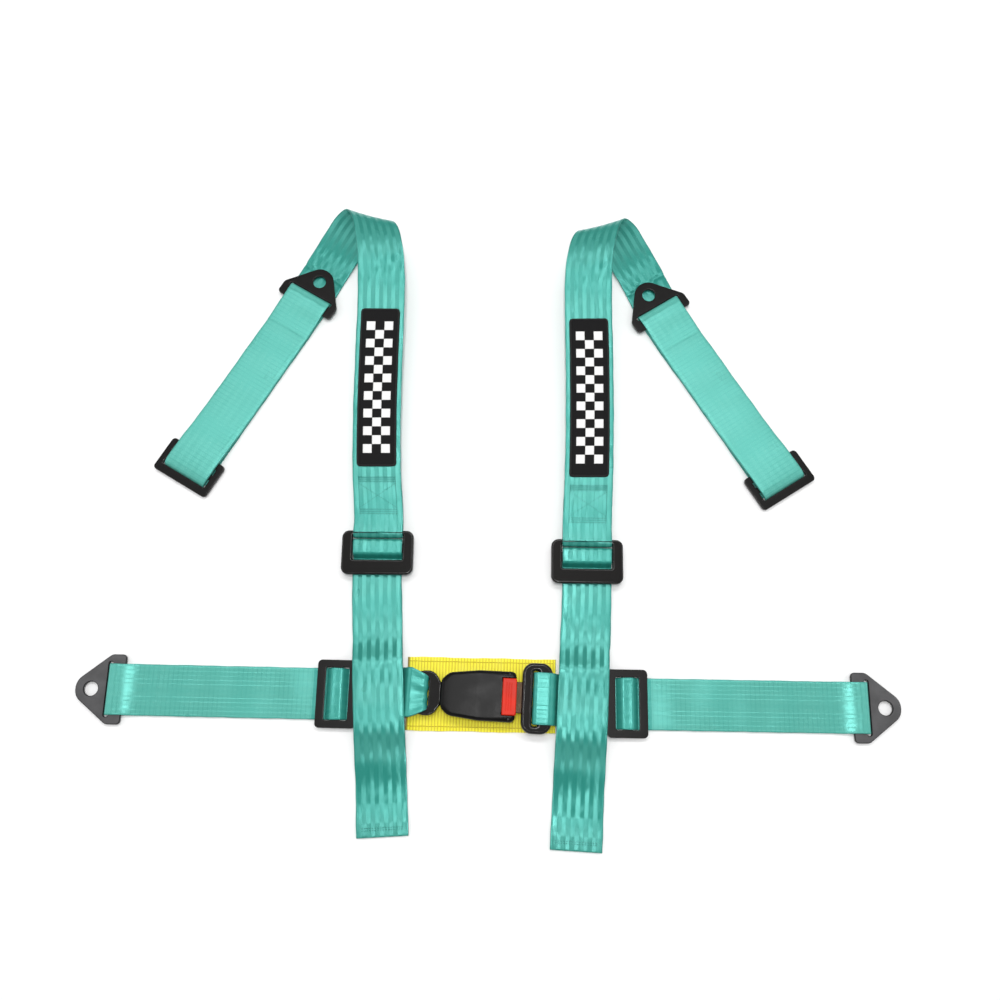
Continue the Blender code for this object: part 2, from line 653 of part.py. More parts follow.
def buckle():
    frame = placed(*BUCKLE_AT, BUCKLE_TURN, BUCKLE_DROP)
    inner = shrunk(COVER_OUTLINE, WALL)

    shell = pillow(COVER_OUTLINE, COVER_LOW, COVER_SPLIT, 0.0022, 2)
    lower = node("buckle_cover_lower", shell, "black_plastic", frame)
    room = [(min(x, MOUTH_X - 0.0011), y, radius) for x, y, radius in inner]
    cut(lower, slab(filleted(room, steps=3), COVER_LOW + WALL, 0.0150), frame)
    cut(lower, box(MOUTH_X - 0.0020, 0.0400, MOUTH_HALF, TONGUE_Z - 0.0004, 0.0150), frame)
    cut(lower, box(-0.0400, -0.0300, 0.0105, 0.0061, 0.0150), frame)

    upper = node(
        "buckle_cover_upper",
        pillow(COVER_OUTLINE, COVER_SPLIT + GAP, COVER_TOP, 0.0034, 3), "black_plastic", frame,
    )
    rib_z, roof = 0.0166, COVER_TOP - WALL
    cut(upper, slab(filleted(room, steps=3), 0.0100, rib_z), frame)
    cut(upper, box(-0.0080, MOUTH_X + 0.0010, MOUTH_HALF, rib_z - 0.0010, roof), frame)
    cut(upper, box(MOUTH_X - 0.0020, 0.0400, MOUTH_HALF, 0.0100, rib_z), frame)
    cut(upper, box(MOUTH_X, 0.0400, MOUTH_HALF, 0.0100, 0.0300), frame)

    for sign, side in ((-1, "front"), (1, "rear")):
        x, y = SCREW_AT[0], sign * SCREW_AT[1]
        sink = turned([(0.0024, 0.0), (0.0024, COVER_LOW + 0.0020)], x, y, 12)
        cut(lower, turned([(SCREW_R, 0.0), (SCREW_R, 0.0186)], x, y, 12), frame)
        cut(lower, sink, frame)
        cut(upper, turned([(SCREW_R, 0.0), (SCREW_R, 0.0186)], x, y, 12), frame)
        head = COVER_LOW + 0.0016
        profile = [(0.0020, COVER_LOW + 0.0002), (0.0020, head), (0.0010, head), (0.0010, 0.0180)]
        node(f"buckle_screw_{side}", turned(profile, x, y, 12), "steel", frame)

    # The eye's steel tang runs in under the frame plate, and two rivets hold them.
    eye_outline = [
        (EYE_EDGE, -0.0150, 0.010), (-0.0560, -0.0216, 0.012),
        (-0.0440, -0.0216, 0.012), (-0.0365, -0.0100, 0.004),
        (-0.0365, 0.0100, 0.004), (-0.0440, 0.0216, 0.012),
        (-0.0560, 0.0216, 0.012), (EYE_EDGE, 0.0150, 0.010),
    ]
    eye_window = filleted([
        (EYE_BAR, -0.0165, 0.0008), (-0.0490, -0.0165, 0.006),
        (-0.0490, 0.0165, 0.006), (EYE_BAR, 0.0165, 0.0008),
    ], steps=3)
    rivets = [(RIVET_AT[0], sign * RIVET_AT[1]) for sign in (-1, 1)]
    ring = slab(filleted(eye_outline, steps=4), EYE_LOW, EYE_HIGH, [eye_window])
    eye = node("buckle_eye", ring, "black_plastic", frame)
    rivet_holes = [circle(x, y, RIVET_R + GAP, 12) for x, y in rivets]
    tang_outline = filleted(rectangle(0.0230, 0.0200, 0, (-0.0335, 0)))
    tang = slab(tang_outline, TANG_LOW, FRAME_Z - GAP, rivet_holes)
    cut(eye, tang, frame, "UNION")
    plate = [
        (-0.0325, -0.0100, 0.001), (-0.0260, -0.0165, 0.002), (0.0195, -0.0190, 0.001),
        (0.0195, 0.0190, 0.001), (-0.0260, 0.0165, 0.002), (-0.0325, 0.0100, 0.001),
    ]
    steel_plate = slab(filleted(plate, steps=2), FRAME_Z, FRAME_Z + FRAME_T, rivet_holes)
    node("buckle_frame", steel_plate, "steel", frame)
    for (x, y), side in zip(rivets, ("front", "rear")):
        low, high = TANG_LOW - GAP, FRAME_Z + FRAME_T + GAP
        profile = [
            (0.0030, low - 0.0003), (0.0030, low), (RIVET_R, low),
            (RIVET_R, high), (0.0030, high), (0.0030, high + 0.0009),
        ]
        node(f"buckle_rivet_{side}", turned(profile, x, y, 12), "steel", frame)

    # Spring-steel leaf: its rear end lies on the frame, its tooth in the tongue's window.
    leaf_t, leaf_z = 0.0009, 0.0152
    leaf_path = [
        (-0.0225, 0.0125, 0), (-0.0190, 0.0125, 0.001), (-0.0160, leaf_z + leaf_t / 2, 0.001),
        (0.0128, leaf_z + leaf_t / 2, 0.0005), (0.0128, 0.0128, 0),
    ]
    leaf = ribbon([
        (frame @ Vector((x, 0, z)), frame.to_3x3() @ Vector((0, 0.0100, 0)))
        for x, z in filleted(leaf_path, closed=False, steps=2)
    ], leaf_t)
    node("latch_leaf", leaf, "spring_steel", None, frame @ Vector((-0.0200, 0, 0.0125)))

    button_outline = [
        (0.0232, -0.0179, 0.0004), (0.0372, -0.0179, 0.0020),
        (0.0372, 0.0179, 0.0020), (0.0232, 0.0179, 0.0004),
    ]
    cap = pillow(button_outline, leaf_z, roof - GAP, 0.0012, 2)
    button = node("release_button", cap, "red_plastic", frame)
    cut(button, box(0.0080, 0.0245, 0.0150, 0.0175, 0.0195), frame, "UNION")
    button_spring = coil(-0.0077, 0.0077, 0, 0.0190, 0.0016, SPRING_WIRE, 6)
    node("button_spring", button_spring, "spring_steel", frame)

    ejector_x = -0.0130
    pusher = box(ejector_x, -0.0003, 0.0140, TONGUE_Z, TONGUE_Z + TONGUE_T)
    node("ejector", pusher, "black_plastic", frame)
    ejector_spring = coil(-0.0300, ejector_x - GAP, 0.0118, 0.0134, 0.0011, SPRING_WIRE, 6)
    node("ejector_spring", ejector_spring, "spring_steel", frame)

    clear = GAP + HALF_T
    ground = HALF_T - BUCKLE_DROP
    junction = LAP["left"]["at"][0] + LAP["left"]["inner"] - BUCKLE_AT[0] + JOIN_GAP
    loop = [
        (junction, ground, 0), (junction + 0.0026, ground, 0.0015), (junction + 0.0062, 0.0052, 0.0020),
        (EYE_EDGE - 0.0010, EYE_LOW - clear, 0.003), (EYE_BAR + clear, EYE_LOW - clear, 0.0012),
        (EYE_BAR + clear, EYE_HIGH + clear, 0.0012), (EYE_EDGE - 0.0022, EYE_HIGH + clear, 0.003),
        (junction + 0.0014, ground + LAYER, 0.003), (junction, ground + LAYER, 0),
    ]
    webbing = tapered_ribbon(loop, frame, (junction + 0.008, 0.048), (EYE_BAR + clear, 0.0315))
    node("buckle_loop", webbing, "teal_webbing")
    return frame


def tapered_ribbon(path, frame, wide_end, narrow_end):
    """Webbing that gathers from one width to another between two places along X."""
    stations = []
    for x, z in filleted(path, closed=False, steps=3):
        share = (x - wide_end[0]) / (narrow_end[0] - wide_end[0])
        share = min(max(share, 0.0), 1.0) ** 2
        width = wide_end[1] + (narrow_end[1] - wide_end[1]) * share
        stations.append((frame @ Vector((x, 0, z)), frame.to_3x3() @ Vector((0, width, 0))))
    return ribbon(stations)


def tongue(frame):
    outline = [
        (0.0000, -0.0140, 0.003), (0.0500, -0.0152, 0.001),
        (0.0500, 0.0152, 0.001), (0.0000, 0.0140, 0.003),
    ]
    window = filleted(rectangle(0.0060, 0.0150, 0.0008, (0.0130, 0)), steps=2)
    plate = slab(filleted(outline, steps=3), TONGUE_Z, TONGUE_Z + TONGUE_T, [window])
    node("tongue_plate", plate, "steel", frame)

    from_x, to_x = 0.0423, 0.0720
    cover_low, cover_high = 0.0088, 0.0178
    slot_from, slot_to = 0.0530, 0.0585
    corners = rectangle(to_x - from_x, 0.0680, 0.0110, ((from_x + to_x) / 2, 0))
    cover = node("tongue_cover", pillow(corners, cover_low, cover_high, 0.0030, 2), "black_plastic", frame)
    slot = rectangle(slot_to - slot_from, 0.0530, 0.0020, ((slot_from + slot_to) / 2, 0))
    cut(cover, slab(filleted(slot, steps=2), 0.0, 0.0300), frame)
    cut(cover, box(0.0400, 0.0503, 0.0155, TONGUE_Z - GAP, TONGUE_Z + TONGUE_T + GAP), frame)

    clear = GAP + HALF_T
    ground = HALF_T - BUCKLE_DROP
    junction = LAP["right"]["at"][0] - LAP["right"]["inner"] - BUCKLE_AT[0] - JOIN_GAP
    loop = [
        (junction, ground, 0), (junction - 0.0036, ground, 0.002), (to_x + 0.0020, 0.0065, 0.003),
        (to_x - 0.0020, cover_low - clear, 0.004), (slot_to - clear, cover_low - clear, 0.0011),
        (slot_to - clear, cover_high + clear, 0.0011), (to_x + 0.0002, cover_high + clear, 0.0030),
        (to_x + 0.0048, 0.0070, 0.004), (junction - 0.0014, ground + LAYER, 0.0030),
        (junction, ground + LAYER, 0),
    ]
    node("tongue_loop", flat_ribbon(loop, frame, steps=4), "teal_webbing")


def belly_pad():
    frame = placed(*PAD_AT, PAD_TURN)
    outline = filleted(rectangle(PAD_LONG, PAD_WIDE, 0.0040), steps=3)
    node("belly_pad", slab(outline, 0.0, PAD_T), "yellow_webbing", frame)


def clear_scene():
    for thing in list(bpy.data.objects):
        bpy.data.objects.remove(thing, do_unlink=True)


clear_scene()
for which in ("left", "right"):
    lap_belt(which)
    rear_strap(which)
    shoulder_strap(which)
    patch(which)
    adjuster(which)
tongue(buckle())
belly_pad()
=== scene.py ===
"""Looks of the four-point racing harness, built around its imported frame.

Metres, +Z up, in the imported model's own frame. Webbing is swept along nearly the
same routes as its CAD solids, with a finer section, a weave, hems and real
stitches; hardware is rebuilt from the same outlines with rounded edges.
"""
import math

import bmesh
import bpy
import numpy as np
from mathutils import Matrix, Vector


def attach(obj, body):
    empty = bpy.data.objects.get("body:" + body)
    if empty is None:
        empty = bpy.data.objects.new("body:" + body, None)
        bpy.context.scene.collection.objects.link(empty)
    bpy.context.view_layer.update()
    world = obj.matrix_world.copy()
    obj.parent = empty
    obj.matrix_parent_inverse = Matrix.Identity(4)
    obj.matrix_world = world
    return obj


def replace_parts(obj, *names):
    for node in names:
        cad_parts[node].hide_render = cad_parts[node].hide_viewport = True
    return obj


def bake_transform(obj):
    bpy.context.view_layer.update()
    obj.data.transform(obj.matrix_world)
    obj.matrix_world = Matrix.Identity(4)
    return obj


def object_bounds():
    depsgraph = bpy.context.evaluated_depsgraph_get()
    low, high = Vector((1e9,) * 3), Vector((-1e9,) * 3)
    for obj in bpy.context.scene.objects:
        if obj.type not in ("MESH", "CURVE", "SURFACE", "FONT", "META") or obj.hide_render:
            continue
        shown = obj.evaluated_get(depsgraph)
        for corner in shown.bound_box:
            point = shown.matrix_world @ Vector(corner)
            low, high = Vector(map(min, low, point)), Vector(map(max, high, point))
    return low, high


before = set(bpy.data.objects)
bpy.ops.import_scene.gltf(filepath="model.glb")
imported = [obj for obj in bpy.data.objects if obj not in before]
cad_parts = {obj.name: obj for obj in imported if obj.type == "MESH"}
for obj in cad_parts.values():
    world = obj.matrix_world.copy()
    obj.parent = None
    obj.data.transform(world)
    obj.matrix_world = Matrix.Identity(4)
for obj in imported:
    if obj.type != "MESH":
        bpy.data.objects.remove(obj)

cad_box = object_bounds()

# ---- dimensions shared with the CAD model ----
WEB, WEB_T, GAP = 0.050, 0.0013, 0.00032
LAYER = WEB_T + GAP
HALF_T = WEB_T / 2
CLEAR = GAP + HALF_T       # from a hard face to the middle of the webbing on it
PLATE_T, PLATE_LONG, PLATE_WIDE = 0.003, 0.0475, 0.068
PLATE_TIP_R, PLATE_HOLE_R = 0.0145, 0.0070
PLATE_BAR, PLATE_SLOT, PLATE_SLOT_WIDE = 0.0125, 0.0045, 0.0535
PLATE_HINGE = 0.0115       # from the plate's inner edge to its hinge in the webbing
SLIDE_LONG, SLIDE_WIDE, SLIDE_T, SLIDE_BAR, SLIDE_MIDDLE = 0.040, 0.066, 0.0036, 0.0085, 0.0075
END_LONG, END_MIDDLE_X, END_T, END_BAR_HALF = 0.0384, -0.0021, 0.0034, 0.0030
ADJ_LONG, ADJ_WIDE, ADJ_HEAD, ADJ_FOOT, ADJ_T, ADJ_Z = 0.0455, 0.073, 0.0044, 0.0155, 0.0060, 0.0098
LOCK_LONG, LOCK_T, LOCK_FROM, LOCK_LOW = 0.0095, 0.0030, -0.0095, -0.0012
JOIN_GAP, TAIL_RISE, SEWN_WIDE = 0.0013, 0.0106, 0.0370
PAD_LONG, PAD_WIDE, PAD_T = 0.1474, 0.0715, 0.0022
PAD_AT, PAD_TURN = (-0.0061, -0.1857), -1.2
BUCKLE_AT, BUCKLE_TURN, BUCKLE_DROP = (-0.0085, -0.1870), -3.0, -0.0012
PATCH_LONG, PATCH_WIDE, PATCH_T = 0.1680, 0.0410, 0.0014
PATCH_FROM = {"left": 0.2125, "right": 0.2010}
HEAD_X = (ADJ_HEAD - ADJ_LONG) / 2
LOOP_R = math.hypot(ADJ_HEAD / 2, ADJ_T / 2) + CLEAR

LAP = {
    "left": {"at": (-0.1481, -0.1850), "heading": 178.8, "tip": 0.2585, "inner": 0.0610},
    "right": {"at": (0.1377, -0.1945), "heading": -1.0, "tip": 0.2690, "inner": 0.0610},
}
REAR = {
    "left": {"at": (-0.3115, 0.0495), "heading": 59.1, "plate": 0.2600},
    "right": {"at": (0.3030, 0.0358), "heading": 121.5, "plate": 0.2590},
}
FOLD = {
    "left": [
        (-0.1760, 0.2805, 0.0022, -30.9), (-0.1610, 0.3030, 0.0085, -30.0), (-0.1460, 0.3200, 0.0200, -25.0),
        (-0.1335, 0.3245, 0.0320, -19.0), (-0.1240, 0.3150, 0.0415, -13.0), (-0.1180, 0.2960, 0.0450, -8.0),
        (-0.1140, 0.2680, 0.0440, -3.5), (-0.1130, 0.2250, 0.0385, -1.0), (-0.1145, 0.1650, 0.0300, 0.0),
        (-0.1155, 0.1000, 0.0225, 0.0), (-0.1145, 0.0400, 0.0170, 0.0),
    ],
    "right": [
        (0.1680, 0.2685, 0.0022, 31.5), (0.1540, 0.2910, 0.0085, 30.0), (0.1400, 0.3085, 0.0200, 25.0),
        (0.1275, 0.3130, 0.0320, 19.0), (0.1180, 0.3035, 0.0415, 13.0), (0.1115, 0.2845, 0.0450, 8.0),
        (0.1070, 0.2565, 0.0440, 3.5), (0.1060, 0.2135, 0.0385, 1.0), (0.1065, 0.1535, 0.0300, 0.0),
        (0.1060, 0.0885, 0.0225, 0.0), (0.1040, 0.0285, 0.0170, 0.0),
    ],
}
ADJUSTER = {
    "left": {
        "at": (-0.1118, -0.0445), "heading": -90.6,
        "tail": 0.2480, "drift": 3.7, "belt": 0.1415, "lean": 2.9,
    },
    "right": {
        "at": (0.1010, -0.0538), "heading": -91.0,
        "tail": 0.2520, "drift": -2.7, "belt": 0.1400, "lean": -0.9,
    },
}
PARENT = {"left": "root", "right": "harness_right"}

# ---- detail of the looks ----
STEP = 0.0020              # spacing of the rings along the webbing
COLUMNS = 16               # faces across the webbing
STITCH_COVER = 0.80        # share of a stitch's pitch that its thread covers
HEM = 0.0085               # length of the turned-under hem of a tail
SEAM = 0.0210              # how far beyond its hinge an anchor loop's webbing reaches
SMOOTH = 0.5               # corner radius that turns a whole side of a path into a curve
CREASE = 0.00035           # height of the crease across an anchor loop
UNDER_FOOT = 0.0080        # where the webbing of an adjuster changes pieces, under its foot bar
PAD_RIB = 0.00305          # pitch of the belly pad's ribs
LAP_WINDOW, END_WINDOW, ADJ_WINDOW = 0.0512, 0.0530, 0.0510   # widths of the windows round the webbing


# ---- placing and outlines ----
def placed(x, y, heading, z=0.0):
    return Matrix.Translation((x, y, z)) @ Matrix.Rotation(math.radians(heading), 4, "Z")


def spots(matrix, z, *xs):
    """Places on the matrix's X axis, at one height."""
    return [matrix @ Vector((x, 0, z)) for x in xs]


def filleted(corners, closed=True, steps=10):
    """Rounds the corners of a polyline, as far as its sides allow. Each corner is (a, b, radius)."""
    points = []
    count = len(corners)
    for index, (a, b, radius) in enumerate(corners):
        here = Vector((a, b))
        if radius <= 0 or (not closed and index in (0, count - 1)):
            points.append((a, b))
            continue
        before = Vector(corners[index - 1][:2]) - here
        after = Vector(corners[(index + 1) % count][:2]) - here
        half = before.angle(after) / 2
        if half > math.radians(89.5):
            points.append((a, b))
            continue
        reach = min(radius / math.tan(half), 0.4995 * before.length, 0.4995 * after.length)
        centre = here + (before.normalized() + after.normalized()).normalized() * (reach / math.cos(half))
        start = here + before.normalized() * reach - centre
        end = here + after.normalized() * reach - centre
        turn = math.atan2(start.cross(end), start.dot(end))
        for step in range(steps + 1):
            spoke = Matrix.Rotation(turn * step / steps, 2) @ start
            points.append((centre.x + spoke.x, centre.y + spoke.y))
    return points


def rectangle(long, wide, radius, centre=(0.0, 0.0)):
    x, y = centre
    a, b = long / 2, wide / 2
    return [(x - a, y - b, radius), (x + a, y - b, radius), (x + a, y + b, radius), (x - a, y + b, radius)]


def circle(radius, x, y=0.0):
    return rectangle(2 * radius, 2 * radius, radius, (x, y))


def mirrored(half):
    """A closed outline from the corners on its -Y side."""
    return half + [(x, -y, radius) for x, y, radius in half[::-1]]


def shrunk(corners, inset):
    """The corners of a convex outline moved inwards by an inset, radii kept in step."""
    moved = []
    count = len(corners)
    for index, (a, b, radius) in enumerate(corners):
        here = Vector((a, b))
        before = (Vector(corners[index - 1][:2]) - here).normalized()
        after = (Vector(corners[(index + 1) % count][:2]) - here).normalized()
        half = before.angle(after) / 2
        moved_to = here + (before + after).normalized() * (inset / math.sin(half))
        moved.append((moved_to.x, moved_to.y, max(radius - inset, 0.0002)))
    return moved


def smooth_route(points, per_span):
    """Catmull-Rom points through a list of tuples."""
    first = [2 * a - b for a, b in zip(points[0], points[1])]
    last = [2 * a - b for a, b in zip(points[-1], points[-2])]
    knots = np.array([first, *points, last])
    t = np.arange(per_span)[:, None] / per_span
    spans = [
        0.5 * (2 * b + (c - a) * t + (2 * a - 5 * b + 4 * c - d) * t ** 2 + (3 * b - a - 3 * c + d) * t ** 3)
        for a, b, c, d in zip(knots, knots[1:], knots[2:], knots[3:])
    ]
    return np.vstack([*spans, knots[-2:-1]])


def smoothstep(value, low, high):
    share = np.clip((value - low) / (high - low), 0.0, 1.0)
    return share * share * (3 - 2 * share)


# ---- node trees ----
class Look:
    """A Principled material whose nodes are written as expressions."""

    def __init__(self, name, colour, roughness, metallic=0.0, **constants):
        self.material = bpy.data.materials.new(name)
        self.material.use_nodes = True
        self.material.diffuse_color = (*colour, 1.0)
        self.tree = self.material.node_tree
        self.shader = self.tree.nodes["Principled BSDF"]
        self.set(base_color=colour, roughness=roughness, metallic=metallic, **constants)

    def set(self, **values):
        """Gives sockets of the shader a constant or the output of a node."""
        for key, value in values.items():
            self.plug(self.shader.inputs[key.replace("_", " ").title().replace("Ior", "IOR")], value)

    def plug(self, socket, value):
        if isinstance(value, bpy.types.NodeSocket):
            self.tree.links.new(value, socket)
        else:
            socket.default_value = (*value, 1.0) if socket.type == "RGBA" else value

    def node(self, kind, inputs=None, **settings):
        """A new node. Its inputs are given by name or number."""
        node = self.tree.nodes.new("ShaderNode" + kind)
        for key, value in settings.items():
            setattr(node, key, value)
        for key, value in (inputs or {}).items():
            self.plug(node.inputs[key], value)
        return node

    def math(self, operation, *values):
        return self.node("Math", dict(enumerate(values)), operation=operation).outputs[0]

    def vector(self, operation, inputs):
        return self.node("VectorMath", inputs, operation=operation).outputs[0]

    def ramp(self, value, low, high, to_low=0.0, to_high=1.0):
        inputs = {"Value": value, "From Min": low, "From Max": high, "To Min": to_low, "To Max": to_high}
        return self.node("MapRange", inputs, interpolation_type="SMOOTHSTEP").outputs["Result"]

    def noise(self, place, scale, detail=2.0, roughness=0.5):
        """Noise from 0 to 1. The scale is one number, or one for each axis."""
        if isinstance(scale, tuple):
            place, scale = self.vector("MULTIPLY", {0: place, 1: scale}), 1.0
        inputs = {"Vector": place, "Scale": scale, "Detail": detail, "Roughness": roughness}
        return self.node("TexNoise", inputs).outputs["Fac"]

    def mixed(self, share, first, second):
        return self.node("Mix", {"Factor": share, 6: first, 7: second}, data_type="RGBA").outputs[2]

    def wave(self, value, pitch):
        """A cosine of a length, from 0 to 1."""
        turn = self.math("MULTIPLY", value, 2 * math.pi / pitch)
        return self.math("MULTIPLY_ADD", self.math("COSINE", turn), 0.5, 0.5)

    def object_place(self):
        return self.node("TexCoord").outputs["Object"]

    def weave_place(self):
        """The place on the webbing, and its parts across and along, in metres."""
        place = self.node("UVMap", uv_map="weave").outputs[0]
        split = self.node("SeparateXYZ", {0: place})
        return place, split.outputs[0], split.outputs[1]

    def bump(self, height, depth, strength, **normal):
        inputs = {"Height": height, "Distance": depth, "Strength": strength, **normal}
        self.set(normal=self.node("Bump", inputs).outputs[0])


def along_tilt(look, amount):
    """The surface normal leant along the webbing by an amount of its own at each place."""
    tangent = look.node("Tangent", direction_type="UV_MAP", uv_map="weave").outputs[0]
    normal = look.node("NewGeometry").outputs["Normal"]
    look.set(tangent=tangent)
    along = look.vector("CROSS_PRODUCT", {0: normal, 1: tangent})
    leant = look.vector("ADD", {0: normal, 1: look.vector("SCALE", {0: along, "Scale": amount})})
    return look.vector("NORMALIZE", {0: leant})


def webbing_look(name, light, dark, sheen_pale, stripes, lines):
    """Satin seat-belt webbing: herringbone panels, fine ribs across, soft selvedges; its base colour also
    carries painted sheen zones, painted glints and painted shade in the weave's grooves.
    """
    look = Look(
        name, light, 0.34, sheen_weight=0.10, sheen_roughness=0.4, sheen_tint=sheen_pale, anisotropic=0.6,
        specular_ior_level=1.0, specular_tint=(0.34, 1.0, 0.92), ior=1.6,
    )
    place, u, v = look.weave_place()
    middle = look.math("SUBTRACT", u, WEB / 2)
    panel = look.ramp(look.wave(middle, 0.0085), 0.30, 0.70)
    side = look.math("MULTIPLY_ADD", panel, 2.0, -1.0)
    slant = look.math("MULTIPLY", look.math("MULTIPLY", middle, side), 0.8)
    twill = look.wave(look.math("ADD", v, slant), 0.0021)
    rib = look.wave(v, 0.00105)
    yarn = look.wave(middle, 0.00095)
    edge = look.ramp(look.math("ABSOLUTE", middle), WEB / 2 - 0.0016, WEB / 2 - 0.0004)
    cloud = look.noise(place, (26.0, 15.0, 1.0), 3.0)
    ragged = look.noise(place, (210.0, 75.0, 1.0), 1.0)
    fine = look.noise(place, (420.0, 900.0, 1.0))
    # Painted sheen: zones along the webbing, shifted per panel into zigzags, where the base colour is mixed
    # towards the pale sheen colour as a painted highlight.
    shifted = look.math("MULTIPLY_ADD", side, 0.0028, look.math("MULTIPLY_ADD", ragged, 0.009, v))
    zones = look.node("CombineXYZ", {0: u, 1: shifted}).outputs[0]
    satin = look.ramp(look.noise(zones, (5.0, 19.0, 1.0), 1.0), 0.43, 0.55)
    # Darker alternate panels: a faint weave stripe everywhere, made much darker inside the painted sheen
    # zones as painted shade.
    stripes_and_painted_shade = look.math("MULTIPLY", panel, look.ramp(satin, 0.0, 1.0, 0.14 * stripes, 0.52 * stripes))
    painted_sheen_strength = look.ramp(side, -1.0, 1.0, 0.03 + 0.22 * stripes, 0.03 + 0.05 * stripes)
    grooves = look.math("ADD", look.math("MULTIPLY", twill, 0.5), look.math("MULTIPLY", rib, 0.5))
    weft = look.ramp(look.wave(v, 0.0046), 0.80, 1.0, 0.0, lines)
    broken = look.ramp(cloud, 0.40, 0.60, 0.3, 1.0)

    colour = look.mixed(stripes_and_painted_shade, light, dark)
    # painted highlight: the sheen zones lighten the base colour, more on alternate panels
    colour = look.mixed(look.math("MULTIPLY", satin, painted_sheen_strength), colour, sheen_pale)
    # painted shade: the base colour darkened in the grooves of the twill and the ribs
    colour = look.mixed(look.ramp(grooves, 0.45, 0.0, 0.0, 0.40), colour, dark)
    colour = look.mixed(look.math("MULTIPLY", weft, broken), colour, dark)
    colour = look.mixed(look.math("MULTIPLY", edge, 0.45), colour, dark)
    # painted glints: fine flecks mixed towards the pale sheen colour
    colour = look.mixed(look.ramp(fine, 0.55, 0.85, 0.0, 0.30), colour, sheen_pale)
    look.set(base_color=colour, roughness=look.ramp(cloud, 0.25, 0.75, 0.34, 0.26))

    relief = look.math("ADD", look.math("MULTIPLY", twill, 0.45), look.math("MULTIPLY", rib, 0.35))
    relief = look.math("ADD", relief, look.math("MULTIPLY", yarn, 0.20))
    lean = look.math("MULTIPLY_ADD", look.noise(place, (7.0, 30.0, 1.0), 1.0), 0.28, -0.14)
    herring = look.math("MULTIPLY", side, look.ramp(ragged, 0.30, 0.70, 0.02 * stripes, 0.11 * stripes))
    look.bump(relief, 0.00006, 0.7, Normal=along_tilt(look, look.math("ADD", lean, herring)))
    return look.material


def thread_look(name, colour, dark):
    look = Look(name, colour, 0.5, sheen_weight=0.04, specular_ior_level=0.25)
    place = look.object_place()
    look.set(base_color=look.mixed(look.ramp(look.noise(place, 2200.0), 0.35, 0.7), dark, colour))
    look.bump(look.noise(place, 3500.0, 1.0), 0.00008, 0.6)
    return look.material


def toned(colour, factor, more=0.0):
    return tuple(min(1.0, channel * factor + more) for channel in colour)


def metal_look(name, colour, roughness, metallic, coat=0.0, specular=0.15):
    """Painted or plated steel with a fine grain, faint handling marks and uneven gloss."""
    look = Look(
        name, colour, roughness, metallic,
        coat_weight=coat, coat_roughness=0.25, specular_ior_level=specular,
    )
    place = look.object_place()
    grain = look.noise(place, 1400.0, 3.0, 0.6)
    marks = look.noise(place, (160.0, 900.0, 160.0), 4.0, 0.7)
    tone = look.mixed(look.ramp(look.noise(place, 55.0), 0.3, 0.7), toned(colour, 0.72), colour)
    look.set(
        base_color=look.mixed(look.ramp(marks, 0.60, 0.78, 0.0, 0.5), tone, toned(colour, 1.7, 0.004)),
        roughness=look.ramp(grain, 0.3, 0.7, roughness + 0.07, roughness - 0.07),
    )
    look.bump(look.math("ADD", grain, look.math("MULTIPLY", marks, 0.5)), 0.00006, 0.35)
    return look.material


def plastic_look(name, colour, roughness, grain_scale, specular):
    """Moulded plastic with a fine spark-eroded grain and rubbed spots."""
    look = Look(name, colour, roughness, specular_ior_level=specular)
    place = look.object_place()
    cells = look.node("TexVoronoi", {"Scale": grain_scale, "Vector": place})
    cloud = look.noise(place, 70.0, 3.0)
    look.set(
        base_color=look.mixed(look.ramp(cloud, 0.35, 0.72, 0.0, 0.7), colour, toned(colour, 1.3, 0.002)),
        roughness=look.ramp(cloud, 0.3, 0.7, roughness - 0.03, roughness + 0.03),
    )
    look.bump(cells.outputs["Distance"], 0.00007, 0.35)
    return look.material


def felt_look():
    """Black patch cloth with a diagonal twill."""
    look = Look("patch_felt", (0.008, 0.0075, 0.008), 0.85, sheen_weight=0.04, specular_ior_level=0.2)
    _, u, v = look.weave_place()
    twill = look.wave(look.math("ADD", look.math("MULTIPLY", u, PATCH_WIDE / WEB), v), 0.0011)
    look.set(base_color=look.mixed(twill, (0.003, 0.003, 0.0035), (0.012, 0.0115, 0.012)))
    look.bump(twill, 0.00012, 0.8)
    return look.material


def pad_look():
    """Coarse yellow webbing whose end is heat-sealed; the grooves between its ribs carry painted shade."""
    look = Look("pad_webbing", (0.97, 0.88, 0.030), 0.55, sheen_weight=0.10)
    place, u, v = look.weave_place()
    strand = look.wave(u, 0.0011)
    cloud = look.noise(place, (60.0, 60.0, 1.0), 3.0)
    # painted shade: the yellow darkened in the grooves between the raised ribs, in step with the ribs of the
    # pad's mesh
    ribs = look.ramp(look.wave(v, PAD_RIB), 0.0, 0.40)
    colour = look.mixed(ribs, (0.66, 0.52, 0.008), (1.0, 0.92, 0.032))
    colour = look.mixed(look.ramp(cloud, 0.45, 0.75, 0.0, 0.4), colour, (0.97, 0.90, 0.10))
    colour = look.mixed(look.math("MULTIPLY", strand, 0.18), colour, (0.55, 0.42, 0.006))
    sealed = look.ramp(v, 0.0035, 0.0006, 0.0, 0.85)
    look.set(base_color=look.mixed(sealed, colour, (0.16, 0.09, 0.02)))
    look.bump(look.math("ADD", look.math("MULTIPLY", strand, 0.5), cloud), 0.00016, 0.6)
    return look.material


# ---- meshes ----
def linked(name, data):
    thing = bpy.data.objects.new(name, data)
    bpy.context.scene.collection.objects.link(thing)
    return thing


def shaded(mesh, sharp):
    mesh.shade_smooth()
    mesh.set_sharp_from_angle(angle=math.radians(sharp))


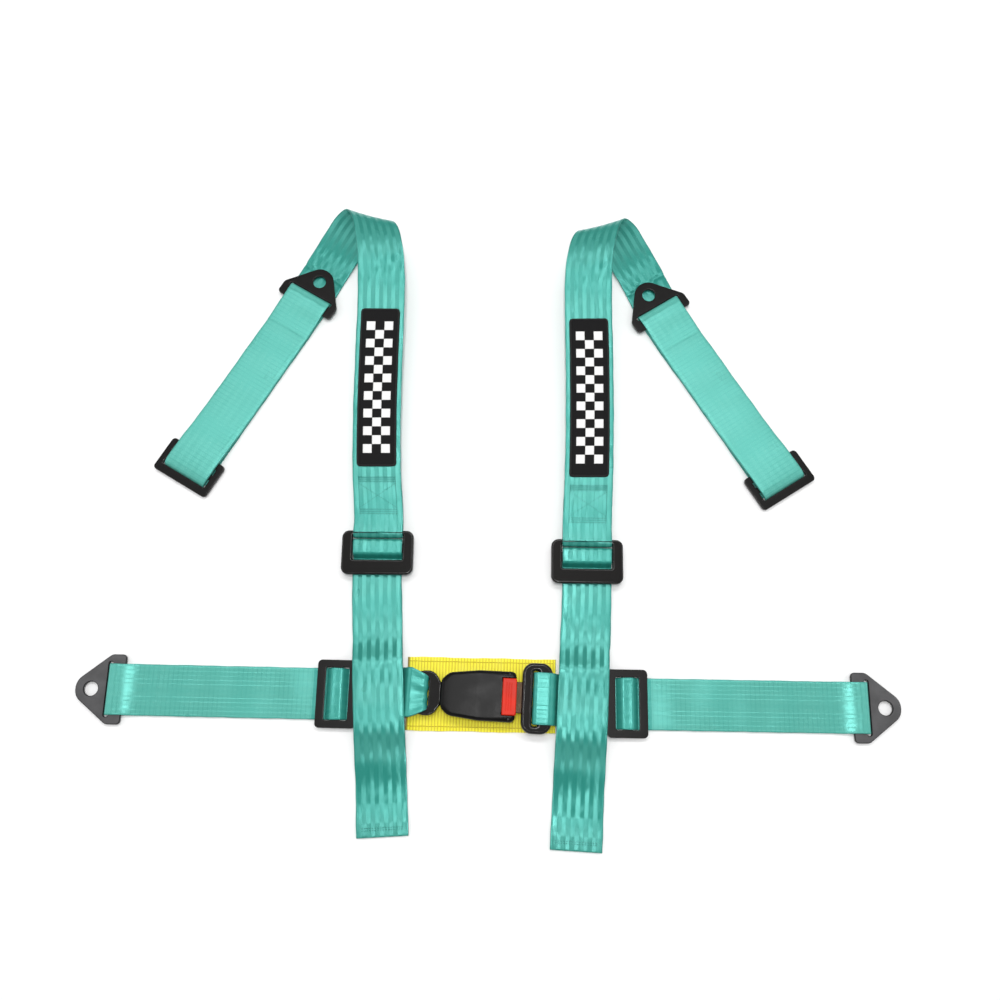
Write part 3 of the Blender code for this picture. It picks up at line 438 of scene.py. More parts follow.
def made(name, verts, faces, look, weave=None, sharp=70.0):
    """A mesh in the scene. The weave gives each vertex its place on the webbing."""
    mesh = bpy.data.meshes.new(name)
    mesh.from_pydata([tuple(point) for point in verts], [], faces)
    mesh.materials.append(look)
    if weave is not None:
        corners = np.empty(len(mesh.loops), np.int32)
        mesh.loops.foreach_get("vertex_index", corners)
        layer = mesh.uv_layers.new(name="weave")
        layer.data.foreach_set("uv", np.asarray(weave, np.float32)[corners].ravel())
    shaded(mesh, sharp)
    mesh.validate()
    return linked(name, mesh)


def swept(rings, closed_ends=True):
    """Vertices and quads through an array of rings (n, m, 3)."""
    count, size, _ = rings.shape
    index = np.arange(count * size).reshape(count, size)
    here, ahead = index[:-1], index[1:]
    faces = np.stack([here, np.roll(here, -1, 1), np.roll(ahead, -1, 1), ahead], -1).reshape(-1, 4).tolist()
    if closed_ends:
        faces += [index[0][::-1].tolist(), index[-1].tolist()]
    return rings.reshape(-1, 3), faces


def outward(thing):
    """Turns every face of a closed mesh outwards."""
    solid = bmesh.new()
    solid.from_mesh(thing.data)
    bmesh.ops.recalc_face_normals(solid, faces=solid.faces)
    solid.to_mesh(thing.data)
    solid.free()
    return thing


def moulded(name, outline, holes, z_low, z_high, edge, looks, matrix, steps=4, corner_steps=10, crown=None):
    """A plate or frame between two heights, every edge of it rounded. The last look is the edge's."""
    solid = bmesh.new()
    profile = []
    for step in range(2 * steps + 2):
        turn = math.pi / 2 * (step if step <= steps else step - 1) / steps
        lift = 1 - math.cos(turn) if step <= steps else -1 - math.cos(turn)
        base = z_low if step <= steps else z_high
        profile.append((edge * (1 - math.sin(turn)), base + edge * lift))
    rims = ([], [])
    for sign, contour in [(1, outline)] + [(-1, hole) for hole in holes]:
        rings = []
        for inset, height in profile:
            ring = filleted(shrunk(contour, sign * inset), steps=corner_steps)
            rings.append([solid.verts.new((x, y, height)) for x, y in ring])
        for lower, upper in zip(rings, rings[1:]):
            for i in range(len(lower)):
                face = solid.faces.new((lower[i - 1], lower[i], upper[i], upper[i - 1]))
                face.material_index = len(looks) - 1
        for rim, ring in zip(rims, (rings[0], rings[-1])):
            rim += [solid.edges.get((ring[i - 1], ring[i])) for i in range(len(ring))]
    for rim in rims:
        bmesh.ops.triangle_fill(solid, use_beauty=True, edges=rim)
    if crown:
        for vert in solid.verts:
            vert.co.z += crown(vert.co)
    bmesh.ops.recalc_face_normals(solid, faces=solid.faces)
    bmesh.ops.transform(solid, matrix=matrix, verts=solid.verts)
    mesh = bpy.data.meshes.new(name)
    solid.to_mesh(mesh)
    solid.free()
    for look in looks:
        mesh.materials.append(look)
    shaded(mesh, 50)
    return evened(linked(name, mesh))


def evened(thing):
    thing.modifiers.new("even normals", "WEIGHTED_NORMAL").keep_sharp = True
    return thing


def carved(thing, tools):
    """Subtracts tools and leaves the result in the mesh. Each tool is removed."""
    thing.modifiers.clear()
    for tool in tools:
        modifier = thing.modifiers.new("cut", "BOOLEAN")
        modifier.object = tool
        modifier.operation = "DIFFERENCE"
    bpy.context.view_layer.update()
    depsgraph = bpy.context.evaluated_depsgraph_get()
    result = bpy.data.meshes.new_from_object(thing.evaluated_get(depsgraph))
    thing.modifiers.clear()
    thing.data = result
    for tool in tools:
        bpy.data.objects.remove(tool)
    shaded(result, 40)
    return evened(thing)


def tool_block(corners, z_low, z_high, matrix):
    return moulded("tool", corners, [], z_low, z_high, 0.0002, [BLACK_PLASTIC], matrix, 1, 4)


# ---- webbing ----
class Strap:
    """A centre-line with a width direction, which can be asked for places on its surface."""

    def __init__(self, stations):
        self.centre = np.array([tuple(centre) for centre, _ in stations], float)
        self.across = np.array([tuple(across) for _, across in stations], float)
        gaps = np.linalg.norm(np.diff(self.centre, axis=0), axis=1)
        self.v = np.concatenate([[0.0], np.cumsum(gaps)])
        forward = np.gradient(self.centre, axis=0)
        self.wide = self.across / np.linalg.norm(self.across, axis=1)[:, None]
        normal = np.cross(forward, self.wide)
        self.normal = normal / np.linalg.norm(normal, axis=1)[:, None]

    def read(self, rows, v):
        return np.array([np.interp(v, self.v, rows[:, axis]) for axis in range(3)])

    def at(self, v, u, lift=0.0):
        place = self.read(self.centre, v) + self.read(self.wide, v) * u
        return Vector(place + self.read(self.normal, v) * lift)

    def nearest(self, point):
        return float(self.v[np.argmin(np.linalg.norm(self.centre - np.array(point), axis=1))])

    def part(self, v_from, v_to, lift, width):
        spots_along = np.linspace(v_from, v_to, 80)
        return Strap([(self.at(v, 0, lift), Vector(self.read(self.wide, v)) * width) for v in spots_along])


def densified(stations):
    """The stations of a strap with more between them, at most STEP apart."""
    dense = []
    for (start, wide_start), (end, wide_end) in zip(stations, stations[1:]):
        count = max(1, math.ceil((Vector(end) - Vector(start)).length / STEP))
        for step in range(count):
            share = step / count
            wide = Vector(wide_start).lerp(Vector(wide_end), share)
            dense.append((Vector(start).lerp(Vector(end), share), wide))
    dense.append((Vector(stations[-1][0]), Vector(stations[-1][1])))
    return dense


def flat_strap(path, matrix, width=None, sway=None):
    """A strap whose path lies in the matrix's X-Z plane. Path corners are (x, z, radius)."""
    stations = []
    for x, z in filleted(path, closed=False, steps=8):
        stations.append((Vector((x, 0, z)), Vector((0, width(x) if width else WEB, 0))))
    dense = densified(stations)
    if sway:
        dense = [sway(centre, across) for centre, across in dense]
    turn = matrix.to_3x3()
    return Strap([(matrix @ centre, turn @ across) for centre, across in dense])


def swaying(x_from, x_to, degrees):
    """Bends a strap aside in plan, from straight at x_from to its full angle at x_to."""
    slope = math.tan(math.radians(degrees))

    def sway(centre, across):
        share = min(max((centre.x - x_from) / (x_to - x_from), 0.0), 1.0)
        past = max(centre.x - x_to, 0.0)
        aside = slope * ((x_to - x_from) * share * share / 2 + past)
        angle = math.atan(slope * share)
        turned = Matrix.Rotation(angle, 3, "Z") @ across
        return centre + Vector((0, aside, 0)), turned

    return sway


def section(half):
    """Lateral share, lateral offset and normal offset of the points round the webbing."""
    across = [-1 + 2 * j / COLUMNS for j in range(COLUMNS + 1)]
    arc = [math.radians(turn) for turn in (60, 25, -25, -60)]
    points = [(share, 0.0, half) for share in across]
    points += [(1.0, half * math.cos(turn), half * math.sin(turn)) for turn in arc]
    points += [(share, 0.0, -half) for share in across[::-1]]
    points += [(-1.0, -half * math.cos(turn), half * math.sin(turn)) for turn in arc[::-1]]
    return np.array(points)


def webbing(name, strap, look, relief=None, thickness=WEB_T, phase=0.0):
    """The strap as a closed mesh with rounded selvedges, slightly uneven in width."""
    half = thickness / 2
    shape = section(half)
    widths = np.linalg.norm(strap.across, axis=1)
    v = strap.v
    uneven = 0.00010 * (np.sin(v * 231 + phase) + np.sin(v * 97 + 2 * phase + 1))
    reach = widths / 2 - half
    lateral = (reach + uneven)[:, None] * shape[None, :, 0] + shape[None, :, 1]
    height = np.broadcast_to(shape[None, :, 2], lateral.shape).copy()
    if relief is not None:
        height = height + relief(v[:, None], shape[None, :, 0])
    rings = strap.centre[:, None] + strap.wide[:, None] * lateral[..., None]
    rings = rings + strap.normal[:, None] * height[..., None]
    verts, faces = swept(rings)
    u = (lateral / widths[:, None] + 0.5) * WEB
    weave = np.stack([u, np.broadcast_to(v[:, None] + phase * 0.01, u.shape)], -1).reshape(-1, 2)
    thing = outward(made(name, verts, faces, look, weave, 60))
    return thing if look is FELT else thing


def stitched(name, spans, look, radius):
    """Stitches as short arched threads. Each span is (start, end, upward normal)."""
    rings_at = ((0.0, 0.55, -0.9), (0.16, 0.95, 0.1), (0.5, 1.0, 0.5), (0.84, 0.95, 0.1), (1.0, 0.55, -0.9))
    sides = 6
    turns = [2 * math.pi * k / sides for k in range(sides)]
    verts, faces = [], []
    for start, end, up in spans:
        aside = (end - start).normalized().cross(up).normalized()
        rings = np.array([
            [
                start.lerp(end, share) + aside * (radius * wide * math.cos(turn))
                + up * (radius * (0.8 * wide * math.sin(turn) + lift))
                for turn in turns
            ]
            for share, wide, lift in rings_at
        ])
        points, quads = swept(rings)
        base = len(verts)
        verts += points.tolist()
        faces += [[corner + base for corner in face] for face in quads]
    return outward(made(name, verts, faces, look))


def runs_of(strap, routes, pitch, face=1.0):
    """Spans of stitch lines on a strap. Each route is a list of (v, u) corners."""
    spans = []
    for (v0, u0), (v1, u1) in [side for route in routes for side in zip(route, route[1:])]:
        count = max(1, round(math.hypot(v1 - v0, u1 - u0) / pitch))
        for step in range(count):
            a, b = ((step + (1 + sign * STITCH_COVER) / 2) / count for sign in (-1, 1))
            ends = [strap.at(v0 + (v1 - v0) * t, u0 + (u1 - u0) * t, face * HALF_T) for t in (a, b)]
            middle = v0 + (v1 - v0) * (a + b) / 2
            spans.append((*ends, Vector(strap.read(strap.normal, middle)) * face))
    return spans


def zigzag(v_from, v_to, u_half, teeth):
    """A zigzag stitch line across a strap."""
    return [
        (v_to if step % 2 else v_from, -u_half + 2 * u_half * step / teeth)
        for step in range(teeth + 1)
    ]


# ---- looks ----
TEAL = webbing_look(
    "teal_webbing_look", (0.017, 0.236, 0.190), (0.004, 0.135, 0.105), (0.155, 0.500, 0.425), 1.0, 0.05,
)
TEAL_TIGHT = webbing_look(
    "teal_webbing_tight", (0.023, 0.270, 0.220), (0.006, 0.155, 0.122), (0.200, 0.580, 0.495), 0.15, 0.04,
)
# The same teal webbing as TEAL and TEAL_TIGHT with a much lighter base colour: painted light, a lit copy
# used on the lap belts, anchor loops and rear layers.
TEAL_PAINTED_LIGHTER = webbing_look(
    "teal_webbing_painted_lighter", (0.086, 0.392, 0.325), (0.022, 0.215, 0.172), (0.330, 0.665, 0.570), 0.12, 0.34,
)
TEAL_THREAD = thread_look("teal_thread", (0.022, 0.210, 0.185), (0.010, 0.120, 0.100))
PLATE_FACE = metal_look("plate_grey", (0.100, 0.099, 0.102), 0.40, 0.35, specular=0.4)
PLATE_EDGE = metal_look("plate_edge", (0.020, 0.020, 0.021), 0.36, 0.30)
BLACK_METAL = metal_look("black_coated_metal", (0.0050, 0.0044, 0.0042), 0.38, 0.0)
BLACK_METAL_EDGE = metal_look("black_metal_edge", (0.014, 0.012, 0.011), 0.22, 0.15, coat=0.30)
BLACK_PLASTIC = plastic_look("black_moulding", (0.0042, 0.0040, 0.0040), 0.34, 900.0, 0.11)
ADJUSTER_FACE = plastic_look("adjuster_face", (0.0060, 0.0054, 0.0050), 0.44, 700.0, 0.08)
BLACK_RUBBER = plastic_look("black_coating", (0.0040, 0.0035, 0.0032), 0.22, 700.0, 0.42)
RED_PLASTIC = plastic_look("red_moulding", (0.600, 0.022, 0.007), 0.42, 500.0, 0.16)
STEEL = metal_look("zinc_steel", (0.480, 0.470, 0.450), 0.30, 1.0)
TONGUE_STEEL = metal_look("tongue_steel", (0.034, 0.021, 0.013), 0.36, 0.8)
GREY_STEEL = [PLATE_FACE, PLATE_EDGE]
COATED = [BLACK_METAL, BLACK_METAL_EDGE]
RUBBERED = [ADJUSTER_FACE, BLACK_RUBBER]
FELT = felt_look()
BLACK_THREAD = thread_look("black_thread", (0.012, 0.0115, 0.012), (0.003, 0.003, 0.003))
WHITE_THREAD = thread_look("white_thread", (0.960, 0.955, 0.940), (0.780, 0.780, 0.770))
PAD_LOOK = pad_look()
PAD_THREAD = thread_look("yellow_thread", (0.620, 0.460, 0.010), (0.340, 0.240, 0.004))


# ---- anchor plates ----
def bar_wrap(base, z_low, far, run):
    """Path of webbing that goes out under a plate's bar, up its slot and back over the bar."""
    turn_x = base + PLATE_BAR + PLATE_SLOT - CLEAR - 0.0003
    under, over = z_low - CLEAR, z_low + PLATE_T + CLEAR
    lower_z, upper_z = z_low + HALF_T - LAYER, z_low + HALF_T
    return [
        (far, lower_z, 0), (base - 0.0075, lower_z, 0.006), (base - 0.0035, under, 0.006),
        (turn_x, under, 0.0018), (turn_x, over, 0.0024),
        (base + 0.0040, over, SMOOTH), (base + 0.0040 - run, upper_z, SMOOTH), (far, upper_z, 0),
    ]


def anchor(side, kind, name, matrix, tip, z_low, run, looks):
    """A bolt-in plate with the webbing loop round its bar. Returns where along the belt the loop ends."""
    body = f"{kind}_plate_{side}"
    base = tip - PLATE_LONG
    edge = -PLATE_WIDE / 2
    outline = mirrored([(base, edge, 0.004), (base + 0.0145, edge, 0.007), (tip, -0.0075, PLATE_TIP_R)])
    holes = [
        circle(PLATE_HOLE_R, tip - PLATE_TIP_R - 0.0008),
        rectangle(PLATE_SLOT, PLATE_SLOT_WIDE, 0.0018, (base + PLATE_BAR + PLATE_SLOT / 2, 0)),
    ]
    piece = moulded(name, outline, holes, z_low, z_low + PLATE_T, 0.0007, looks, matrix)
    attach(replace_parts(piece, f"{kind}_anchor_plate_{side}"), body)

    hinge_x, z = base - PLATE_HINGE, z_low + HALF_T
    far = hinge_x - SEAM
    strap = flat_strap(bar_wrap(base, z_low, far, run), matrix)
    crease = strap.nearest(matrix @ Vector((base + 0.0090, 0, z + 0.004)))

    def ridge(v, s):
        return -CREASE * np.exp(-((v - crease - 0.0007 * np.sin(8 * s + 1)) / 0.0016) ** 2)

    piece = webbing(f"{kind}_loop_{side}", strap, TEAL_PAINTED_LIGHTER, ridge, phase=base * 40)
    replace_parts(piece, f"{kind}_anchor_loop_{side}")
    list(spots(matrix, z, hinge_x + 0.0040, hinge_x - 0.0050))
    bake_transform(piece)
    return far


# ---- lap belts ----
def lap_belt(side):
    data, parent, slide_body = LAP[side], PARENT[side], f"lap_adjuster_{side}"
    matrix = placed(*data["at"], data["heading"])
    name = f"lap_plate_{side}"
    far = anchor(side, "lap", name, matrix, data["tip"], LAYER, 0.0150, GREY_STEEL)
    low, high = HALF_T, HALF_T + LAYER
    lower = flat_strap([(-data["inner"], low, 0), (far, low, 0)], matrix)
    piece = webbing(f"lap_lower_{side}", lower, TEAL_PAINTED_LIGHTER, phase=2.0)
    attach(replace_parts(piece, f"lap_belt_{side}"), parent)

    edge = SLIDE_LONG / 2
    past_edge = edge + 0.0040
    upper = flat_strap([(past_edge, high, 0), (far, high, 0)], matrix)

    def swell(v, s):
        return 0.00012 * np.sin(v * 145) * smoothstep(v, 0.01, 0.03) * (1 - s * s)

    piece = webbing(f"lap_upper_{side}", upper, TEAL_PAINTED_LIGHTER, swell, phase=4.0)
    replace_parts(piece, f"lap_belt_return_{side}")
    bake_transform(piece)

    slide_z = 2 * LAYER + 0.0003
    window = (SLIDE_LONG - 2 * SLIDE_BAR - SLIDE_MIDDLE) / 2
    offset = (SLIDE_MIDDLE + window) / 2
    holes = [rectangle(window, LAP_WINDOW, 0.0020, (x, 0)) for x in (-offset, offset)]
    outline = rectangle(SLIDE_LONG, SLIDE_WIDE, 0.0045)
    name = f"lap_slide_frame_{side}"
    slide = moulded(name, outline, holes, slide_z, slide_z + SLIDE_T, 0.0007, COATED, matrix)
    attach(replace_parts(slide, f"lap_slide_{side}"), slide_body)

    crest = slide_z + SLIDE_T + CLEAR
    dip = edge - SLIDE_BAR - 0.0012
    rise = SLIDE_MIDDLE / 2 + CLEAR
    strap = flat_strap([
        (past_edge, high, 0), (dip, high, 0.0014), (rise, crest, 0.0024), (-rise, crest, 0.0024),
        (-dip, high, 0.0014), (-edge - 0.0005, high, 0),
    ], matrix)
    middle = strap.v[-1] / 2

    def bulge(v, s):
        crown = 0.00030 * np.exp(-((v - middle) / 0.004) ** 2) * (1 - 0.4 * s * s)
        return crown + 0.00010 * np.sin(s * 9 + 1) * np.exp(-((v - middle) / 0.006) ** 2)

    piece = webbing(f"lap_roll_{side}", strap, TEAL_TIGHT, bulge, phase=3.0)
    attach(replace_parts(piece, f"lap_slide_roll_{side}"), slide_body)


# ---- shoulder straps ----
def adjuster_frame(side):
    data = ADJUSTER[side]
    return placed(*data["at"], data["heading"], ADJ_Z)


def shoulder_strap_route(side):
    """The whole strap: end slide, rear stretch, fold, chest, round the adjuster's bar and back."""
    rear = placed(*REAR[side]["at"], REAR[side]["heading"])
    turn = REAR[side]["heading"] - 90
    rows = [(*place, turn) for place in spots(rear, HALF_T, -0.0095, 0.1200, 0.2100)]
    rows += FOLD[side]
    adjuster = adjuster_frame(side)
    turn_down = ADJUSTER[side]["heading"] + 90
    rows += [(*(adjuster @ Vector((x, 0, z))), turn_down) for x, z in ((-0.0400, 0.0053), (HEAD_X, LOOP_R))]
    stations = []
    for x, y, z, degrees in smooth_route(rows, 24):
        angle = math.radians(degrees)
        stations.append(((x, y, max(z, HALF_T)), (-WEB * math.cos(angle), -WEB * math.sin(angle), 0.0)))
    across = adjuster.to_3x3() @ Vector((0, WEB, 0))
    for step in range(1, 13):
        turn = math.pi / 2 - math.pi * step / 12
        x = HEAD_X + LOOP_R * math.cos(turn)
        stations.append((adjuster @ Vector((x, 0, LOOP_R * math.sin(turn))), across))
    upper = Strap(densified(stations))
    v_turn = upper.nearest(adjuster @ Vector((HEAD_X, 0, LOOP_R)))
    back = (
        (-0.0210, -0.0043), (-0.0260, -0.0036), (-0.0330, 0.0012), (-0.0400, 0.0034), (-0.0600, 0.0040),
        (-0.0840, 0.0049),
    )
    for x, z in smooth_route(back, 6)[6:]:
        straight = adjuster @ Vector((x, 0, z))
        v = v_turn - (HEAD_X - x)
        beneath = upper.at(v, 0)
        share = float(smoothstep(-x, 0.026, 0.055))
        spot = straight.lerp(Vector((beneath.x, beneath.y, straight.z)), share)
        along = Vector(upper.read(upper.wide, v)) * -WEB
        stations.append((spot, across.lerp(Vector((along.x, along.y, 0.0)), share)))
    return densified(stations)


def shoulder_strap(side):
    parent = PARENT[side]
    strap = Strap(shoulder_strap_route(side))
    crease = strap.nearest(FOLD[side][0][:3]) - 0.012
    top = strap.nearest(FOLD[side][5][:3])

    def relief(v, s):
        wavy = -0.0009 * np.exp(-((v - crease - 0.0012 * np.sin(7 * s)) / 0.0022) ** 2)
        swell = 0.00010 * np.sin(v * 118 + 0.8 * s) * smoothstep(v, top + 0.02, top + 0.06)
        cup = -0.0012 * s * s * np.exp(-((v - top) / 0.05) ** 2)
        return wavy + swell + cup

    piece = webbing(f"shoulder_strap_{side}", strap, TEAL, relief, phase=1.0)
    nodes = [f"shoulder_strap_{part}_{side}" for part in ("rear", "fold", "front")]
    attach(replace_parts(piece, *nodes), parent)
    patch(side, strap)

    v_turn = strap.nearest(adjuster_frame(side) @ Vector((HEAD_X, 0, LOOP_R)))
    v_top, v_low = (v_turn - (HEAD_X - x) for x in (-0.0790, -0.0385))
    half, tooth = 0.0190, 0.0022
    steps = [tooth * row for row in range(3)]
    routes = [zigzag(v_top + d, v_top + d + tooth, half, 26) for d in steps]
    routes += [zigzag(v_low - d - tooth, v_low - d, half, 26) for d in steps]
    inner = (v_top + 0.0075, v_low - 0.0075)
    routes += [[(inner[0], sign * -half), (inner[1], sign * half)] for sign in (1, -1)]
    routes += [[(v_top, sign * half), (v_low, sign * half)] for sign in (-1, 1)]
    spans = runs_of(strap, routes, 0.0022, face=-1.0)
    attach(stitched(f"box_stitching_{side}", spans, TEAL_THREAD, 0.00026), parent)


def rear_strap(side):
    data, parent = REAR[side], PARENT[side]
    matrix = placed(*data["at"], data["heading"])
    name = f"shoulder_plate_steel_{side}"
    far = anchor(side, "shoulder", name, matrix, data["plate"], 2 * LAYER, 0.0340, COATED)

    holes = [
        rectangle(to - start, END_WINDOW, 0.0012, ((start + to) / 2, 0))
        for start, to in ((-0.0125, -END_BAR_HALF), (END_BAR_HALF, 0.0096))
    ]
    outline = rectangle(END_LONG, SLIDE_WIDE, 0.0040, (END_MIDDLE_X, 0))
    slide = moulded(f"end_slide_{side}", outline, holes, LAYER, LAYER + END_T, 0.0008, COATED, matrix)
    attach(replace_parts(slide, f"shoulder_end_slide_{side}"), parent)

    over = LAYER + END_T + CLEAR
    edge = 0.0172

    def swell(v, s):
        flat = smoothstep(v, 0.03, 0.06) * (1 - smoothstep(v, 0.17, 0.19))
        return 0.00016 * np.sin(v * 92 + 0.9 * s) * flat

    for name, node, turn, layer, relief in (
        ("rear_return", "shoulder_return", [(-0.0101, 0.0027, 0), (-0.0096, 0.0037, 0.0016)], 0, None),
        ("rear_top", "shoulder_return_end", [(-0.0121, 0.0026, 0), (-0.0100, 0.0058, 0.0040)], LAYER, swell),
    ):
        lift, level = over + layer, HALF_T + LAYER + layer
        strap = flat_strap(turn + [
            (-END_BAR_HALF - 0.0010, lift, 0.0060), (edge + 0.0010, lift, SMOOTH),
            (edge + 0.0450, level, SMOOTH), (far, level, 0),
        ], matrix)
        piece = webbing(f"{name}_{side}", strap, TEAL_PAINTED_LIGHTER, relief, phase=5.0)
        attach(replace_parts(piece, f"{node}_{side}"), parent)


# ---- patch ----
def patch(side, strap):
    """Sewn patch with a corded border and a chequered band."""
    parent = PARENT[side]
    upper = PATCH_FROM[side]
    chest = strap.v > strap.nearest(FOLD[side][5][:3])
    v_rows, y_rows = strap.v[chest][:200], strap.centre[chest][:200, 1]
    v_from, v_to = (float(np.interp(-y, -y_rows, v_rows)) for y in (upper, upper - PATCH_LONG))
    lift = -(HALF_T + GAP / 2 + PATCH_T * 0.32)
    cloth = strap.part(v_from + 0.0008, v_to - 0.0008, lift, PATCH_WIDE - 0.0016)
    base = webbing(f"patch_base_{side}", cloth, FELT, thickness=PATCH_T * 0.6)
    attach(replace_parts(base, f"shoulder_patch_{side}"), parent)
    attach(patch_border(side, strap, v_from, v_to, lift), parent)
    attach(patch_chequers(side, strap, (v_from + v_to) / 2, lift), parent)


def patch_border(side, strap, v_from, v_to, lift):
    """A cord sewn round the patch, swelling between its stitches."""
    inset, radius, sides = 0.0011, 0.0012, 8
    middle = ((v_from + v_to) / 2, 0)
    corners = rectangle(v_to - v_from - 2 * inset, PATCH_WIDE - 2 * inset, 0.003, middle)
    outline = [Vector(point) for point in filleted(corners, steps=8)]
    pitch, per_pitch = 0.0012, 4
    route = []
    for start, end in zip(outline, outline[1:] + outline[:1]):
        count = max(1, round((end - start).length * per_pitch / pitch))
        route += [start.lerp(end, step / count) for step in range(count)]
    rings = []
    for index, here in enumerate(route):
        ahead = route[(index + 1) % len(route)] - route[index - 1]
        aside = Vector((ahead.y, -ahead.x)).normalized()
        swell = 1.0 + 0.13 * math.cos(2 * math.pi * index / per_pitch)
        ring = []
        for k in range(sides):
            turn = 2 * math.pi * k / sides
            spot = here + aside * (radius * swell * math.cos(turn))
            ring.append(strap.at(spot.x, spot.y, lift - 0.00085 * swell * math.sin(turn) - 0.0001))
        rings.append(ring)
    rings.append(rings[0])
    verts, faces = swept(np.array(rings), closed_ends=False)
    return outward(made(f"patch_border_{side}", verts, faces, BLACK_THREAD, sharp=80))


def patch_chequers(side, strap, v_middle, lift):
    """White squares of satin stitch, three across, each a row of raised threads."""
    cell, rows, columns, threads = 0.0094, 15, 3, 13
    profile = ((0.0, -0.2), (0.08, 0.75), (0.5, 1.0), (0.92, 0.75), (1.0, -0.2))
    size, count = len(profile), 2 * threads + 1
    verts, faces = [], []
    for row in range(rows):
        for column in range(row % 2, columns, 2):
            v0, u0 = v_middle + (row - rows / 2) * cell, (column - columns / 2) * cell
            first = len(verts)
            for k in range(count):
                ridge = 0.00007 if k % 2 else -0.00003
                rim = 0.4 if k in (0, count - 1) else 1.0
                for share, rise in profile:
                    height = PATCH_T * 0.3 + 0.00034 * rise * rim + ridge
                    verts.append(strap.at(v0 + cell * k / (count - 1), u0 + cell * share, lift - height))
            for k in range(count - 1):
                for j in range(size - 1):
                    corner = first + k * size + j
                    faces.append([corner, corner + 1, corner + size + 1, corner + size])
    motif = made(f"patch_chequers_{side}", verts, faces, WHITE_THREAD, sharp=80)
    thicken = motif.modifiers.new("thread depth", "SOLIDIFY")
    thicken.thickness = 0.0003
    thicken.offset = -1.0
    return motif


# ---- adjusters ----
def adjuster(side):
    """The adjuster's frame, the webbing roll over its lock bar, the free tail and the link strap."""
    data = ADJUSTER[side]
    parent, body = PARENT[side], f"adjuster_{side}"
    matrix = adjuster_frame(side)
    half = ADJ_LONG / 2
    window_from, window_to = ADJ_HEAD - half, half - ADJ_FOOT
    window = rectangle(window_to - window_from, ADJ_WINDOW, 0.0015, ((window_from + window_to) / 2, 0))
    outline = rectangle(ADJ_LONG, ADJ_WIDE, 0.0075)
    name = f"adjuster_body_{side}"
    piece = moulded(name, outline, [window], -ADJ_T / 2, ADJ_T / 2, 0.0019, RUBBERED, matrix, 5)
    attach(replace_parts(piece, f"adjuster_frame_{side}"), body)

    tail_z = -ADJ_T / 2 - CLEAR
    lower_z = tail_z - LAYER
    under, over = LOCK_LOW - CLEAR, LOCK_LOW + LOCK_T + CLEAR
    change_x = half - UNDER_FOOT
    loose_x = LOCK_FROM - CLEAR - 0.0031
    strap = flat_strap([
        (change_x, lower_z, 0), (0.0032, lower_z, 0.004), (-0.0022, under, 0.004), (loose_x, under, 0.0020),
        (loose_x, over + 0.0006, 0.0028), (LOCK_FROM + LOCK_LONG + CLEAR, over, 0.0030),
        (0.0052, tail_z, 0.0020), (change_x, tail_z, 0),
    ], matrix)

    def ripple(v, s):
        return 0.00010 * np.sin(11 * s + 2) * smoothstep(v, 0.018, 0.024)

    piece = webbing(f"adjuster_roll_{side}", strap, TEAL, ripple, phase=6.0)
    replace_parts(piece, f"adjuster_strap_roll_{side}")
    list(spots(matrix, over, loose_x - HALF_T, LOCK_FROM + 0.0005))
    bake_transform(piece)

    exit_x = half + 0.0025
    start = exit_x + 0.0006
    belt = start + data["belt"] - exit_x
    ground, raised = HALF_T - ADJ_Z, TAIL_RISE - ADJ_Z
    laid, end = ground + 0.0004, start + data["tail"]
    strap = flat_strap([
        (change_x, tail_z, 0), (start + 0.006, tail_z, 0.02), (belt - 0.058, -0.0062, 0.05),
        (belt - 0.034, raised, 0.03), (belt + 0.030, raised, 0.10), (belt + 0.085, laid, 0.20),
        (end - 0.030, laid, 0.03), (end - HEM - 0.004, ground + LAYER, 0.02), (end, ground + LAYER, 0.0008),
        (end, ground, 0.0008), (end - HEM, ground, 0),
    ], matrix, sway=swaying(exit_x - 0.004, exit_x + 0.030, data["drift"]))
    hem_v = strap.v[-1] - 2 * HEM - LAYER

    def relief(v, s):
        flat = smoothstep(v, 0.03, 0.06) * (1 - smoothstep(v, hem_v - 0.02, hem_v))
        return 0.00028 * np.sin(v * 88 + 1.1 * s) * flat + 0.00012 * np.sin(v * 205 - s) * flat

    piece = webbing(f"tail_{side}", strap, TEAL, relief, phase=7.0)
    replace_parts(piece, f"shoulder_tail_{side}")
    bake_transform(piece)
    seam_half = 0.0205
    routes = [[(hem_v + d, -seam_half), (hem_v + d, seam_half)] for d in (0.0010, 0.0030)]
    stitches = stitched(f"hem_stitching_{side}", runs_of(strap, routes, 0.0026), TEAL_THREAD, 0.00030)
    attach(stitches, parent)

    strap = flat_strap([
        (change_x, lower_z, 0), (start + 0.008, lower_z, 0.02), (start + 0.030, ground, 0.02),
        (belt - 0.0345, ground, 0.006), (belt - 0.0290, ground + LAYER, 0.006),
        (belt + 0.022, ground + LAYER, 0),
    ], matrix, sway=swaying(exit_x - 0.004, exit_x + 0.012, data["lean"]))
    inside = matrix.inverted()

    def narrow(x):
        return WEB + (SEWN_WIDE - WEB) * smoothstep(x, belt - 0.060, belt - 0.030)

    strap = Strap([
        (centre, Vector(across).normalized() * narrow((inside @ Vector(centre)).x))
        for centre, across in zip(strap.centre, strap.across)
    ])
    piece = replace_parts(webbing(f"link_{side}", strap, TEAL, phase=8.0), f"shoulder_link_{side}")
    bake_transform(piece)


